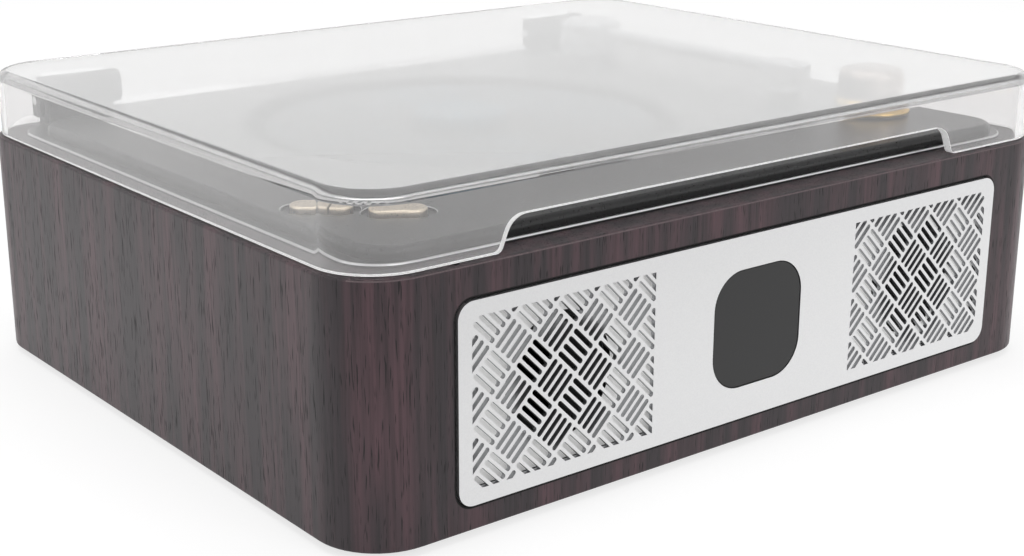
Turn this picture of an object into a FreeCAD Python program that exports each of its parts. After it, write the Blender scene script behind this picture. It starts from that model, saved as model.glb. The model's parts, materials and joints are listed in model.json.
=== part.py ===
import FreeCAD, Part
import math
import os
from types import SimpleNamespace

import Sketcher
from FreeCAD import Placement, Rotation, Vector

# A desktop CD player. It stands on its feet at z = 0, centred on the Z axis, with its front towards -Y.

doc = FreeCAD.newDocument("DesktopCdPlayer")
sheet = doc.addObject("Spreadsheet::Sheet", "Sizes")

# Driving sizes in millimetres, each written once
SIZES = {
    # Wooden cabinet
    "cabinet_width": 260.0,
    "cabinet_depth": 212.6,
    "cabinet_height": 68.2,
    "cabinet_corner": 18.0,
    "cabinet_wall": 12.0,
    "cabinet_edge": 0.8,
    # Base plate and feet
    "base_thickness": 4.0,
    "base_ledge": 7.0,
    "base_gap": 0.4,
    "base_screw_side": 25.0,
    "base_screw_spread_y": 50.0,
    "foot_height": 2.0,
    "foot_radius": 8.0,
    "foot_taper": 0.8,
    "foot_inset": 26.0,
    # Front panel and its grilles
    "panel_side": 28.5,
    "panel_height": 52.4,
    "panel_thickness": 1.4,
    "panel_corner": 4.5,
    "panel_rise": 6.9,
    "panel_rebate": 0.8,
    "panel_gap": 0.4,
    "grille_margin": 4.1,
    "grille_share": 0.29064,
    "grille_pitch": 13.1,
    "grille_phase_x": 6.0,
    "grille_phase_y": 2.0,
    "slot_width": 1.38,
    # Display window and board
    "window_size": 33.6,
    "window_corner": 10.2,
    "window_gap": 0.2,
    "window_recess": 0.1,
    "window_lip": 2.0,
    "window_lip_thickness": 1.0,
    "display_width": 30.0,
    "display_height": 26.0,
    # Speaker baffle
    "opening_margin_x": 3.0,
    "opening_margin_z": 3.0,
    "opening_corner": 5.0,
    "baffle_setback": 1.8,
    "baffle_thickness": 2.4,
    "baffle_wall": 2.0,
    "baffle_gap": 0.4,
    "baffle_flange": 5.0,
    "baffle_pad": 3.0,
    "baffle_hole": 17.1,
    "baffle_screw_spread": 60.0,
    # Speakers
    "speaker_size": 37.0,
    "speaker_corner": 4.0,
    "speaker_flange": 1.2,
    "speaker_screw_reach": 15.2,
    "throat_radius": 16.9,
    "cone_radius": 14.8,
    "cone_depth": 6.6,
    "cone_paper": 0.5,
    "coil_radius": 6.2,
    "basket_depth": 13.0,
    "magnet_radius": 14.5,
    "magnet_height": 6.0,
    "yoke_thickness": 2.5,
    # Deck
    "flange_front": 8.7,
    "flange_side": 9.0,
    "flange_rear": 9.8,
    "flange_thickness": 1.0,
    "flange_corner": 12.5,
    "plinth_front": 10.2,
    "plinth_side": 12.5,
    "plinth_rear": 18.6,
    "plinth_height": 4.3,
    "plinth_corner": 11.0,
    "plinth_round": 2.0,
    "deck_shell": 2.4,
    "deck_wall": 2.0,
    "deck_lip": 5.2,
    "lip_gap": 0.5,
    "well_x": -17.0,
    "well_y": 5.0,
    "well_radius": 66.0,
    "well_depth": 6.0,
    "well_floor": 2.0,
    "well_rim": 1.0,
    "cleat_reach": 16.0,
    "cleat_length": 18.0,
    "cleat_height": 14.0,
    "cleat_front": 86.3,
    "cleat_rear": 46.3,
    "boss_radius": 4.0,
    # Disc, hub and motor
    "disc_radius": 60.0,
    "disc_hole": 7.5,
    "disc_thickness": 1.2,
    "disc_drop": 1.7,
    "hub_radius": 15.0,
    "hub_thickness": 1.6,
    "hub_fit": 0.1,
    "hub_nose": 1.4,
    "hub_boss": 3.5,
    "puck_radius": 14.3,
    "puck_height": 3.6,
    "spindle_radius": 1.0,
    "motor_radius": 12.0,
    "motor_height": 8.0,
    "running_fit": 0.05,
    # Pickup mechanism
    "chassis_width": 88.0,
    "chassis_front": 70.0,
    "chassis_rear": 26.0,
    "chassis_thickness": 1.5,
    "chassis_drop": 2.4,
    "damper_x": 37.0,
    "damper_front": 50.0,
    "damper_rear": 18.0,
    "damper_radius": 5.0,
    "damper_neck": 3.6,
    "damper_flange": 1.3,
    "damper_ease": 0.1,
    "pillar_radius": 2.2,
    "rod_spread": 17.0,
    "rod_radius": 1.5,
    "rod_drop": 3.5,
    "sled_length": 20.0,
    "sled_height": 5.0,
    "lens_inner": 24.0,
    "sled_travel": 30.0,
    "turret_size": 13.0,
    "turret_gap": 2.5,
    "lens_radius": 2.6,
    "lens_height": 1.0,
    "lens_gap": 1.6,
    "screw_offset": 27.0,
    "lead_radius": 1.6,
    "nut_gap": 0.3,
    "sled_motor_radius": 6.0,
    "sled_motor_length": 8.0,
    "holder_length": 4.0,
    "holder_wall": 1.5,
    "holder_gap": 0.5,
    # Keys on the deck
    "key_length": 14.2,
    "key_width": 8.0,
    "key_gap": 0.8,
    "key_clearance": 0.3,
    "key_rise": 1.3,
    "key_round": 0.6,
    "key_lip": 0.9,
    "key_lip_thickness": 1.0,
    "key_stem": 1.5,
    "key_travel": 0.8,
    "recess_margin": 2.3,
    "recess_depth": 1.0,
    "skip_side": 24.6,
    "skip_front": 50.8,
    "skip_angle": -45.0,
    "play_side": 37.5,
    "play_front": 36.8,
    "play_angle": -30.0,
    "key_board_left": 8.0,
    "key_board_right": 28.0,
    "key_board_front": 31.0,
    "key_board_rear": 13.0,
    "key_board_inset": 4.0,
    "switch_size": 6.0,
    "switch_height": 2.2,
    "board_thickness": 1.6,
    # Volume control
    "knob_side": 34.0,
    "knob_front": 44.9,
    "knob_radius": 10.3,
    "knob_skirt": 11.4,
    "knob_height": 12.0,
    "knob_round": 3.0,
    "knob_gap": 0.5,
    "knob_cavity": 8.0,
    "shaft_radius": 3.0,
    "bush_wall": 0.9,
    "pot_size": 16.0,
    "pot_height": 8.0,
    "nut_radius": 5.6,
    "nut_height": 2.0,
    # Arm along the right side
    "arm_side": 38.0,
    "arm_rear": 36.3,
    "arm_rest_front": 77.6,
    "arm_base_height": 3.0,
    "arm_base_radius": 11.0,
    "arm_height": 11.8,
    "arm_round": 2.0,
    "arm_post": 3.0,
    "arm_gap": 0.3,
    "arm_level": 7.5,
    "tube_radius": 2.2,
    "tube_socket": 4.0,
    "head_width": 11.0,
    "head_nose": 7.5,
    "head_length": 16.0,
    "head_thickness": 4.6,
    "rest_radius": 4.5,
    # Dust cover and hinges
    "cover_inset": 1.3,
    "cover_wall": 2.6,
    "cover_gap": 0.4,
    "cover_height": 20.2,
    "cover_round": 3.0,
    "cover_chamfer": 2.3,
    "notch_left": 42.9,
    "notch_right": 48.0,
    "notch_slope": 3.6,
    "notch_height": 8.6,
    "notch_round": 6.0,
    "notch_foot": 2.2,
    "bumper_radius": 1.1,
    "bumper_side": 30.0,
    "hinge_side": 31.2,
    "hinge_width": 20.8,
    "hinge_depth": 7.4,
    "hinge_front": 9.4,
    "hinge_axis_back": 5.7,
    "hinge_axis_rise": 8.0,
    "knuckle_radius": 5.0,
    "pin_radius": 1.5,
    "peg_radius": 2.0,
    "peg_length": 8.0,
    "cheek_gap": 1.2,
    "cheek_thickness": 1.5,
    "cheek_reach": 6.4,
    "cheek_rise": 2.8,
    # Rear panel and electronics
    "rear_width": 110.0,
    "rear_height": 38.0,
    "rear_thickness": 2.4,
    "rear_opening_margin": 8.0,
    "rear_screw_inset": 4.4,
    "inlet_x": -30.0,
    "inlet_radius": 3.2,
    "socket_x": 30.0,
    "socket_radius": 1.8,
    "main_width": 120.0,
    "main_depth": 78.0,
    "main_rear": 21.3,
    "capacitor_radius": 5.0,
    "capacitor_height": 12.0,
    "chip_size": 14.0,
    "chip_height": 1.8,
    "sink_length": 18.0,
    "sink_height": 10.0,
    "plug_length": 24.0,
    "plug_height": 6.0,
    "standoff_height": 6.0,
    "standoff_radius": 3.2,
    "standoff_inset": 6.0,
    # Fasteners
    "wood_screw_radius": 1.5,
    "wood_screw_length": 10.0,
    "wood_head_radius": 2.8,
    "wood_head_height": 1.6,
    "small_screw_radius": 1.1,
    "small_screw_length": 4.0,
    "small_head_radius": 2.0,
    "small_head_height": 1.2,
    "screw_ease": 0.1,
    "drive_width": 0.5,
    "drive_depth": 0.7,
}

# Slots side by side in one cell of the grille, cut tools' reach past a face, how far joined pieces run
# into each other, and the smallest clipped slot that is still cut
SLOTS_PER_CELL = 4
OVERSHOOT = 1.0
BITE = 0.2
LEAST_SLOT_AREA = 0.7
FORWARD = Rotation(Vector(1, 0, 0), 90)
BACKWARD = Rotation(Vector(1, 0, 0), -90)
SIDEWAYS = Rotation(Vector(0, 1, 0), 90)
ACROSS = Rotation(Vector(0, 0, 1), 90) * Rotation(Vector(1, 0, 0), 90)
UPRIGHT = Rotation()
UPSIDE_DOWN = Rotation(Vector(1, 0, 0), 180)


class Size:
    """A length with the spreadsheet formula behind it, so that sums of sizes stay bound to the sheet."""

    def __init__(self, value, text):
        self.value = value
        self.text = text

    @staticmethod
    def of(number):
        """Returns number as a Size, with its own digits as the formula if it is a plain number."""
        if isinstance(number, Size):
            return number
        return Size(float(number), f"({float(number)!r})")

    def __add__(self, other):
        other = Size.of(other)
        return Size(self.value + other.value, f"({self.text} + {other.text})")

    def __sub__(self, other):
        other = Size.of(other)
        return Size(self.value - other.value, f"({self.text} - {other.text})")

    def __mul__(self, other):
        other = Size.of(other)
        return Size(self.value * other.value, f"({self.text} * {other.text})")

    def __truediv__(self, other):
        other = Size.of(other)
        return Size(self.value / other.value, f"({self.text} / {other.text})")

    def __neg__(self):
        return Size(-self.value, f"(-1 * {self.text})")

    def __radd__(self, other):
        return Size.of(other) + self

    def __rsub__(self, other):
        return Size.of(other) - self

    def __rmul__(self, other):
        return Size.of(other) * self


def fill_sheet():
    """Writes the driving sizes into the sheet and returns them as named Size values."""
    for row, (name, number) in enumerate(SIZES.items(), 1):
        sheet.set(f"A{row}", name)
        sheet.set(f"B{row}", str(number))
        sheet.setAlias(f"B{row}", name)
    doc.recompute()
    return SimpleNamespace(**{name: Size(float(sheet.get(name)), f"Sizes.{name}") for name in SIZES})


s = fill_sheet()
nodes = []

# Levels and faces that several pieces share
half_width = s.cabinet_width / 2
rear = s.cabinet_depth / 2
front = -rear
panel_width = s.cabinet_width - 2 * s.panel_side
grille_width = panel_width * s.grille_share
skip_x, skip_y = s.skip_side - half_width, front + s.skip_front
play_x, play_y = s.play_side - half_width, front + s.play_front
knob_x, knob_y = half_width - s.knob_side, front + s.knob_front
arm_x, arm_y = half_width - s.arm_side, rear - s.arm_rear
rest_y = front + s.arm_rest_front
hinge_x = half_width - s.hinge_side
lens_y = s.well_y - s.lens_inner
wood_top = s.foot_height + s.cabinet_height
base_top = s.foot_height + s.base_thickness
deck_top = wood_top + s.plinth_height
deck_under = deck_top - s.deck_shell
lip_bottom = wood_top - s.deck_lip
well_level = deck_top - s.well_depth
well_under = well_level - s.well_floor
inner_front = front + s.cabinet_wall
inner_rear = rear - s.cabinet_wall
main_y = inner_rear - s.main_rear - s.main_depth / 2
panel_back = front + s.panel_rebate
panel_proud = s.panel_thickness - s.panel_rebate
rear_face = rear + panel_proud
rear_back = rear_face - s.rear_thickness
rear_seat = rear_face - s.small_head_height - 0.1
panel_level = s.foot_height + s.panel_rise + s.panel_height / 2
grille_height = s.panel_height - 2 * s.grille_margin
speaker_x = panel_width / 2 - s.grille_margin - grille_width / 2
baffle_face = panel_back + s.baffle_setback
baffle_back = baffle_face + s.baffle_thickness
opening_width = panel_width - 2 * s.opening_margin_x
opening_height = s.panel_height - 2 * s.opening_margin_z
disc_top = deck_top - s.disc_drop
disc_under = disc_top - s.disc_thickness
hub_under = disc_under - s.hub_thickness
chassis_top = well_under - s.chassis_drop
chassis_under = chassis_top - s.chassis_thickness
rod_level = chassis_under - s.rod_drop
cover_bottom = wood_top + s.cover_gap
cover_top = wood_top + s.cover_height
cover_under = cover_top - s.cover_wall
cover_rear = rear - s.cover_inset
hinge_y = rear - s.hinge_axis_back
hinge_z = wood_top + s.hinge_axis_rise
key_top = deck_top + s.key_rise
key_lip_top = deck_under - 0.1
key_lip_under = key_lip_top - s.key_lip_thickness
switch_top = key_lip_under - s.key_travel - 0.2
board_top = switch_top - s.switch_height


def bind(item, **sizes):
    """Binds properties of a document object to the formulas of sizes."""
    for name, size in sizes.items():
        item.setExpression(name, Size.of(size).text)


def place(item, at, turn=UPRIGHT):
    """Turns an object and binds its position to three sizes."""
    item.Placement = Placement(Vector(), turn)
    for axis, size in zip("xyz", at):
        item.setExpression(f"Placement.Base.{axis}", Size.of(size).text)
    return item


def node(label, item):
    """Names a finished sub-part after its file and keeps it for the export."""
    item.Label = label
    nodes.append(item)
    return item


def box(name, length, width, height, at):
    """Adds a box that is centred on at in plan and stands on its height."""
    item = doc.addObject("Part::Box", name)
    bind(item, Length=length, Width=width, Height=height)
    return place(item, (at[0] - Size.of(length) / 2, at[1] - Size.of(width) / 2, at[2]))


def cylinder(name, radius, height, at, turn=UPRIGHT):
    """Adds a cylinder that starts at at and runs along the turned Z axis."""
    item = doc.addObject("Part::Cylinder", name)
    bind(item, Radius=radius, Height=height)
    return place(item, at, turn)


def fuse(name, *pieces):
    """Joins pieces into one solid."""
    item = doc.addObject("Part::MultiFuse", name)
    item.Shapes = list(pieces)
    item.Refine = True
    return item


def cut(name, base, *tools):
    """Takes one or more tools away from a base."""
    item = doc.addObject("Part::Cut", name)
    item.Base = base
    item.Tool = tools[0] if len(tools) == 1 else fuse(name + "Tools", *tools)
    item.Refine = True
    return item


def compound(name, pieces):
    """Groups separate solids in one node."""
    item = doc.addObject("Part::Compound", name)
    item.Links = list(pieces)
    return item


def copies(name, master, placements):
    """Groups copies of a master's solid, one for each placement."""
    doc.recompute()
    item = doc.addObject("Part::Feature", name)
    solids = []
    for placement in placements:
        solid = master.Shape.copy()
        solid.Placement = placement
        solids.append(solid)
    item.Shape = Part.makeCompound(solids)
    return item


def spot(x, y, z, turn=UPRIGHT):
    """Returns the placement of a copy at three sizes."""
    return Placement(Vector(*(Size.of(size).value for size in (x, y, z))), turn)


def sketch_in(body, name, plane):
    """Adds a sketch on one of the body's own origin planes."""
    sketch = body.newObject("Sketcher::SketchObject", name)
    for feature in body.Origin.OriginFeatures:
        if feature.Role == plane:
            sketch.AttachmentSupport = [(feature, "")]
    sketch.MapMode = "FlatFace"
    return sketch


def draw(sketch, points):
    """Draws a closed outline of straight lines and pins each corner to its two sizes."""
    corners = [(Size.of(across), Size.of(up)) for across, up in points]
    count = len(corners)
    for index, start in enumerate(corners):
        end = corners[(index + 1) % count]
        line = Part.LineSegment(
            Vector(start[0].value, start[1].value, 0), Vector(end[0].value, end[1].value, 0)
        )
        sketch.addGeometry(line)
    for index in range(count):
        sketch.addConstraint(Sketcher.Constraint("Coincident", index, 2, (index + 1) % count, 1))
    for index, (across, up) in enumerate(corners):
        for kind, size in (("DistanceX", across), ("DistanceY", up)):
            number = sketch.addConstraint(Sketcher.Constraint(kind, index, 1, size.value))
            sketch.setExpression(f"Constraints[{number}]", size.text)


def outline(name, points, height, at, turn=UPRIGHT):
    """Pads a closed outline, drawn in the body's own XY plane, along its Z axis."""
    body = doc.addObject("PartDesign::Body", name)
    sketch = sketch_in(body, name + "Outline", "XY_Plane")
    draw(sketch, points)
    pad = body.newObject("PartDesign::Pad", name + "Pad")
    pad.Profile = sketch
    bind(pad, Length=height)
    place(body, at, turn)
    doc.recompute()
    return body


def slab(name, width, depth, height, corner, at, turn=UPRIGHT):
    """Pads a rectangle that is centred on the body's origin, with rounded upright corners."""
    across, along = Size.of(width) / 2, Size.of(depth) / 2
    points = [(-across, -along), (across, -along), (across, along), (-across, along)]
    body = outline(name, points, height, at, turn)
    return soften(body, is_upright, corner)


def turned(name, points, at, turn=UPRIGHT):
    """Revolves a closed outline of radius and height round the body's Z axis."""
    body = doc.addObject("PartDesign::Body", name)
    sketch = sketch_in(body, name + "Profile", "XZ_Plane")
    draw(sketch, points)
    spin = body.newObject("PartDesign::Revolution", name + "Spin")
    spin.Profile = sketch
    spin.ReferenceAxis = (sketch, ["V_Axis"])
    spin.Angle = 360
    place(body, at, turn)
    doc.recompute()
    return body


def is_upright(edge, shape):
    """True for an edge along the body's Z axis."""
    ends = [vertex.Point for vertex in edge.Vertexes]
    return len(ends) == 2 and (ends[1] - ends[0]).cross(Vector(0, 0, 1)).Length < 1e-6


def is_top(edge, shape):
    """True for an edge that lies in the body's highest plane."""
    return abs(edge.BoundBox.ZMin - shape.BoundBox.ZMax) < 1e-4


def is_rim(edge, shape):
    """True for an edge in the body's highest or lowest plane."""
    return is_top(edge, shape) or abs(edge.BoundBox.ZMax - shape.BoundBox.ZMin) < 1e-4


def is_outer_top(edge, shape):
    """True for the widest round edge in the body's highest plane."""
    return is_top(edge, shape) and edge.BoundBox.XLength > 0.5 * shape.BoundBox.XLength


def soften(body, chosen, radius):
    """Rounds the body's chosen edges with a fillet bound to a size."""
    base = body.Tip
    names = [f"Edge{n}" for n, edge in enumerate(base.Shape.Edges, 1) if chosen(edge, base.Shape)]
    fillet = body.newObject("PartDesign::Fillet", body.Name + "Fillet")
    fillet.Base = (base, names)
    bind(fillet, Radius=radius)
    body.Tip = fillet
    doc.recompute()
    return body


def pill(name, length, width, height, at, angle):
    """Adds an upright pill that is turned in plan by a size in degrees."""
    body = slab(name, length, width, height, width / 2 - 0.01, at)
    body.setExpression("Placement.Rotation.Angle", angle.text)
    return body


def mirrored_pairs(x, y):
    """Returns the four plan points at plus and minus x and y."""
    return [(across, along) for across in (-x, x) for along in (-y, y)]


def screw_master(name, radius, length, head_radius, head_height):
    """Makes a screw with a cross recess. Its head's seat is at the origin and its shank runs along +Z."""
    shank = cylinder(name + "Shank", radius, length, (0, 0, 0))
    head = cylinder(name + "Head", head_radius, head_height, (0, 0, -head_height))
    drive_length = 1.2 * head_radius
    bars = [
        box(name + "DriveX", drive_length, s.drive_width, s.drive_depth, (0, 0, -head_height)),
        box(name + "DriveY", s.drive_width, drive_length, s.drive_depth, (0, 0, -head_height)),
    ]
    return cut(name, fuse(name + "Blank", shank, head), *bars)


wood_screw = screw_master(
    "WoodScrew", s.wood_screw_radius, s.wood_screw_length, s.wood_head_radius, s.wood_head_height
)
small_screw = screw_master(
    "SmallScrew", s.small_screw_radius, s.small_screw_length, s.small_head_radius, s.small_head_height
)
wood_screw_places = []
small_screw_places = []


def base_screw_points():
    """Returns the plan points of the screws that hold the base plate to the walls' ledge."""
    inset = s.cabinet_wall - s.base_ledge / 2
    across, along = half_width - inset, rear - inset
    aside = half_width - s.base_screw_side
    return mirrored_pairs(across, s.base_screw_spread_y) + mirrored_pairs(aside, along)


def baffle_screw_points():
    """Returns the points across and up the front where screws hold the baffle's flange."""
    reach = opening_height / 2 + s.baffle_flange / 2
    spread = s.baffle_screw_spread
    return [(x, panel_level + sign * reach) for x in (-spread, Size.of(0), spread) for sign in (-1, 1)]


def rear_screw_points():
    """Returns the points across and up the back where screws hold the rear panel."""
    inset = s.rear_screw_inset
    across, up = s.rear_width / 2 - inset, s.rear_height / 2 - inset
    return [(x, panel_level + dz) for x, dz in mirrored_pairs(across, up)]


def make_cabinet():
    """Makes the wooden sleeve, with its panel rebates, openings and pilot holes, and the base and feet."""
    sleeve = slab(
        "Sleeve", s.cabinet_width, s.cabinet_depth, s.cabinet_height, s.cabinet_corner, (0, 0, s.foot_height)
    )
    soften(sleeve, is_rim, s.cabinet_edge)
    hollow = slab(
        "SleeveHollow", s.cabinet_width - 2 * s.cabinet_wall, s.cabinet_depth - 2 * s.cabinet_wall,
        s.cabinet_height + 2 * OVERSHOOT, s.cabinet_corner - s.cabinet_wall,
        (0, 0, s.foot_height - OVERSHOOT),
    )
    ledge_inset = s.cabinet_wall - s.base_ledge
    ledge = slab(
        "BaseRebate", s.cabinet_width - 2 * ledge_inset, s.cabinet_depth - 2 * ledge_inset,
        s.base_thickness + OVERSHOOT, s.cabinet_corner - ledge_inset, (0, 0, s.foot_height - OVERSHOOT),
    )
    rebate = slab(
        "PanelRebate", panel_width + 2 * s.panel_gap, s.panel_height + 2 * s.panel_gap,
        s.panel_rebate + OVERSHOOT, s.panel_corner + s.panel_gap, (0, panel_back, panel_level), FORWARD,
    )
    opening = slab(
        "FrontOpening", opening_width, opening_height, s.cabinet_wall + 2 * OVERSHOOT, s.opening_corner,
        (0, inner_front + OVERSHOOT, panel_level), FORWARD,
    )
    rear_rebate = slab(
        "RearRebate", s.rear_width + 2 * s.panel_gap, s.rear_height + 2 * s.panel_gap,
        s.rear_thickness + OVERSHOOT, s.panel_corner + s.panel_gap, (0, rear_back, panel_level), BACKWARD,
    )
    rear_opening = slab(
        "RearOpening", s.rear_width - 2 * s.rear_opening_margin, s.rear_height - 2 * s.rear_opening_margin,
        s.cabinet_wall + 2 * OVERSHOOT, s.opening_corner, (0, inner_rear - OVERSHOOT, panel_level), BACKWARD,
    )
    pilot = s.wood_screw_radius + s.running_fit
    screw_depth = s.wood_screw_length + OVERSHOOT
    holes = [
        cylinder("BasePilot", pilot, screw_depth, (x, y, s.foot_height + s.wood_head_height))
        for x, y in base_screw_points()
    ]
    holes += [
        cylinder("BafflePilot", pilot, screw_depth, (x, inner_front + s.baffle_thickness, z), FORWARD)
        for x, z in baffle_screw_points()
    ]
    holes += [
        cylinder("RearPilot", s.small_screw_radius + s.running_fit, s.small_screw_length + OVERSHOOT,
                 (x, rear_seat, z), FORWARD)
        for x, z in rear_screw_points()
    ]
    holes += [
        cylinder("PegHole", s.peg_radius + s.running_fit, s.peg_length + OVERSHOOT,
                 (x, y, wood_top - s.peg_length))
        for middle in (-hinge_x, hinge_x) for x, y in peg_points(middle)
    ]
    tools = [hollow, ledge, rebate, opening, rear_rebate, rear_opening] + holes
    node("cabinet_shell", cut("CabinetShell", sleeve, *tools))
    make_base()


def make_base():
    """Makes the base plate with its board standoffs, the rubber feet and the screws under the player."""
    inset = s.cabinet_wall - s.base_ledge + s.base_gap
    plate = slab(
        "BaseSheet", s.cabinet_width - 2 * inset, s.cabinet_depth - 2 * inset, s.base_thickness,
        s.cabinet_corner - inset, (0, 0, s.foot_height),
    )
    standoffs = [
        cylinder("Standoff", s.standoff_radius, s.standoff_height, (x, y, base_top)) for x,
        y in main_board_points()
    ]
    holes = []
    for x, y in base_screw_points():
        holes.append(
            cylinder("BaseSink", s.wood_head_radius + 0.2, s.wood_head_height + OVERSHOOT,
                     (x, y, s.foot_height - OVERSHOOT))
        )
        holes.append(cylinder("BaseHole", s.wood_screw_radius + s.screw_ease, s.base_thickness,
                              (x, y, s.foot_height)))
        wood_screw_places.append(spot(x, y, s.foot_height + s.wood_head_height))
    for x, y in main_board_points():
        holes.append(cylinder("StandoffPilot", s.small_screw_radius + s.running_fit, s.standoff_height,
                              (x, y, base_top)))
    node("base_plate", cut("BasePlate", fuse("BaseBlank", plate, *standoffs), *holes))
    across, along = half_width - s.foot_inset, rear - s.foot_inset
    feet = []
    for x, y in mirrored_pairs(across, along):
        foot = doc.addObject("Part::Cone", "Foot")
        bind(foot, Radius1=s.foot_radius - s.foot_taper, Radius2=s.foot_radius, Height=s.foot_height)
        feet.append(place(foot, (x, y, 0)))
    node("rubber_feet", compound("RubberFeet", feet))


def stadium(centre, along, length, width):
    """Returns the wire of a round-ended slot in the front plane."""
    side = Vector(0, 1, 0).cross(along) * (width / 2)
    tip = along * (width / 2)
    start = centre - along * ((length - width) / 2)
    end = centre + along * ((length - width) / 2)
    return Part.Wire([
        Part.LineSegment(start + side, end + side).toShape(),
        Part.Arc(end + side, end + tip, end - side).toShape(),
        Part.LineSegment(end - side, start - side).toShape(),
        Part.Arc(start - side, start - tip, start + side).toShape(),
    ])


def round_rectangle(centre, width, height, corner):
    """Returns the wire of a rounded rectangle in the front plane."""
    flat = Part.makePlane(width, height, centre + Vector(-width / 2, 0, -height / 2), Vector(0, -1, 0),
                          Vector(1, 0, 0))
    solid = flat.extrude(Vector(0, 1, 0))
    upright = [edge for edge in solid.Edges if edge.BoundBox.YLength > 0.5]
    rounded = solid.makeFillet(corner, upright)
    nearest = min(rounded.Faces, key=lambda face: abs(face.CenterOfMass.y - centre.y))
    return nearest.OuterWire


def grille_slots(level, back):
    """Returns the wires of the left grille: square cells on their points with slots both ways."""
    pitch = s.grille_pitch.value
    spacing = pitch / math.sqrt(2) / SLOTS_PER_CELL
    length = pitch / math.sqrt(2) - (spacing - s.slot_width.value)
    width, height = grille_width.value, grille_height.value
    left = -speaker_x.value - width / 2
    top = level + height / 2
    field = Part.makePlane(width, height, Vector(left, back, top - height), Vector(0, -1, 0), Vector(1, 0, 0))
    wires = []
    for column in range(-1, int(width / pitch) + 2):
        for row in range(-1, int(height / pitch) + 2):
            for kind in (0, 1):
                across = left + s.grille_phase_x.value + (column + kind / 2) * pitch
                up = top - s.grille_phase_y.value - (row + kind / 2) * pitch
                along = Vector(1, 0, 2 * kind - 1).normalize()
                side = Vector(0, 1, 0).cross(along)
                for slot in range(SLOTS_PER_CELL):
                    offset = (slot - (SLOTS_PER_CELL - 1) / 2) * spacing
                    centre = Vector(across, back, up) + side * offset
                    whole = Part.Face(stadium(centre, along, length, s.slot_width.value))
                    inside = whole.common(field)
                    wires += [face.OuterWire for face in inside.Faces if face.Area > LEAST_SLOT_AREA]
    return wires


def make_front():
    """Makes the aluminium panel with its two grilles, and the window that is held behind it."""
    level, back = panel_level.value, panel_back.value
    middle = Vector(0, back, level)
    left = grille_slots(level, back)
    right = [wire.mirror(Vector(0, 0, 0), Vector(1, 0, 0)) for wire in left]
    window = round_rectangle(middle, s.window_size.value, s.window_size.value, s.window_corner.value)
    edge = round_rectangle(middle, panel_width.value, s.panel_height.value, s.panel_corner.value)
    face = Part.makeFace([edge, window] + left + right, "Part::FaceMakerBullseye")
    panel = doc.addObject("Part::Feature", "FrontPanel")
    panel.Shape = face.extrude(Vector(0, -s.panel_thickness.value, 0))
    node("front_panel", panel)
    pane_size = s.window_size - 2 * s.window_gap
    pane = slab(
        "WindowPane", pane_size, pane_size, s.panel_thickness - s.window_recess,
        s.window_corner - s.window_gap,
        (0, panel_back, panel_level), FORWARD,
    )
    lip_size = s.window_size + 2 * s.window_lip
    lip = slab(
        "WindowLip", lip_size, lip_size, s.window_lip_thickness, s.window_corner + s.window_lip,
        (0, panel_back + s.window_lip_thickness, panel_level), FORWARD,
    )
    node("display_window", fuse("DisplayWindow", pane, lip))


def display_points():
    """Returns the points across and up the front where screws hold the display board."""
    inset = 3.0
    return [(x, panel_level + dz) for x, dz in mirrored_pairs(s.display_width / 2 - inset,
                                                              s.display_height / 2 - inset)]


def speaker_points(x):
    """Returns the points across and up the front where screws hold the speaker at x."""
    reach = s.speaker_screw_reach
    return [(x + dx, panel_level + dz) for dx, dz in mirrored_pairs(reach, reach)]


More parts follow.
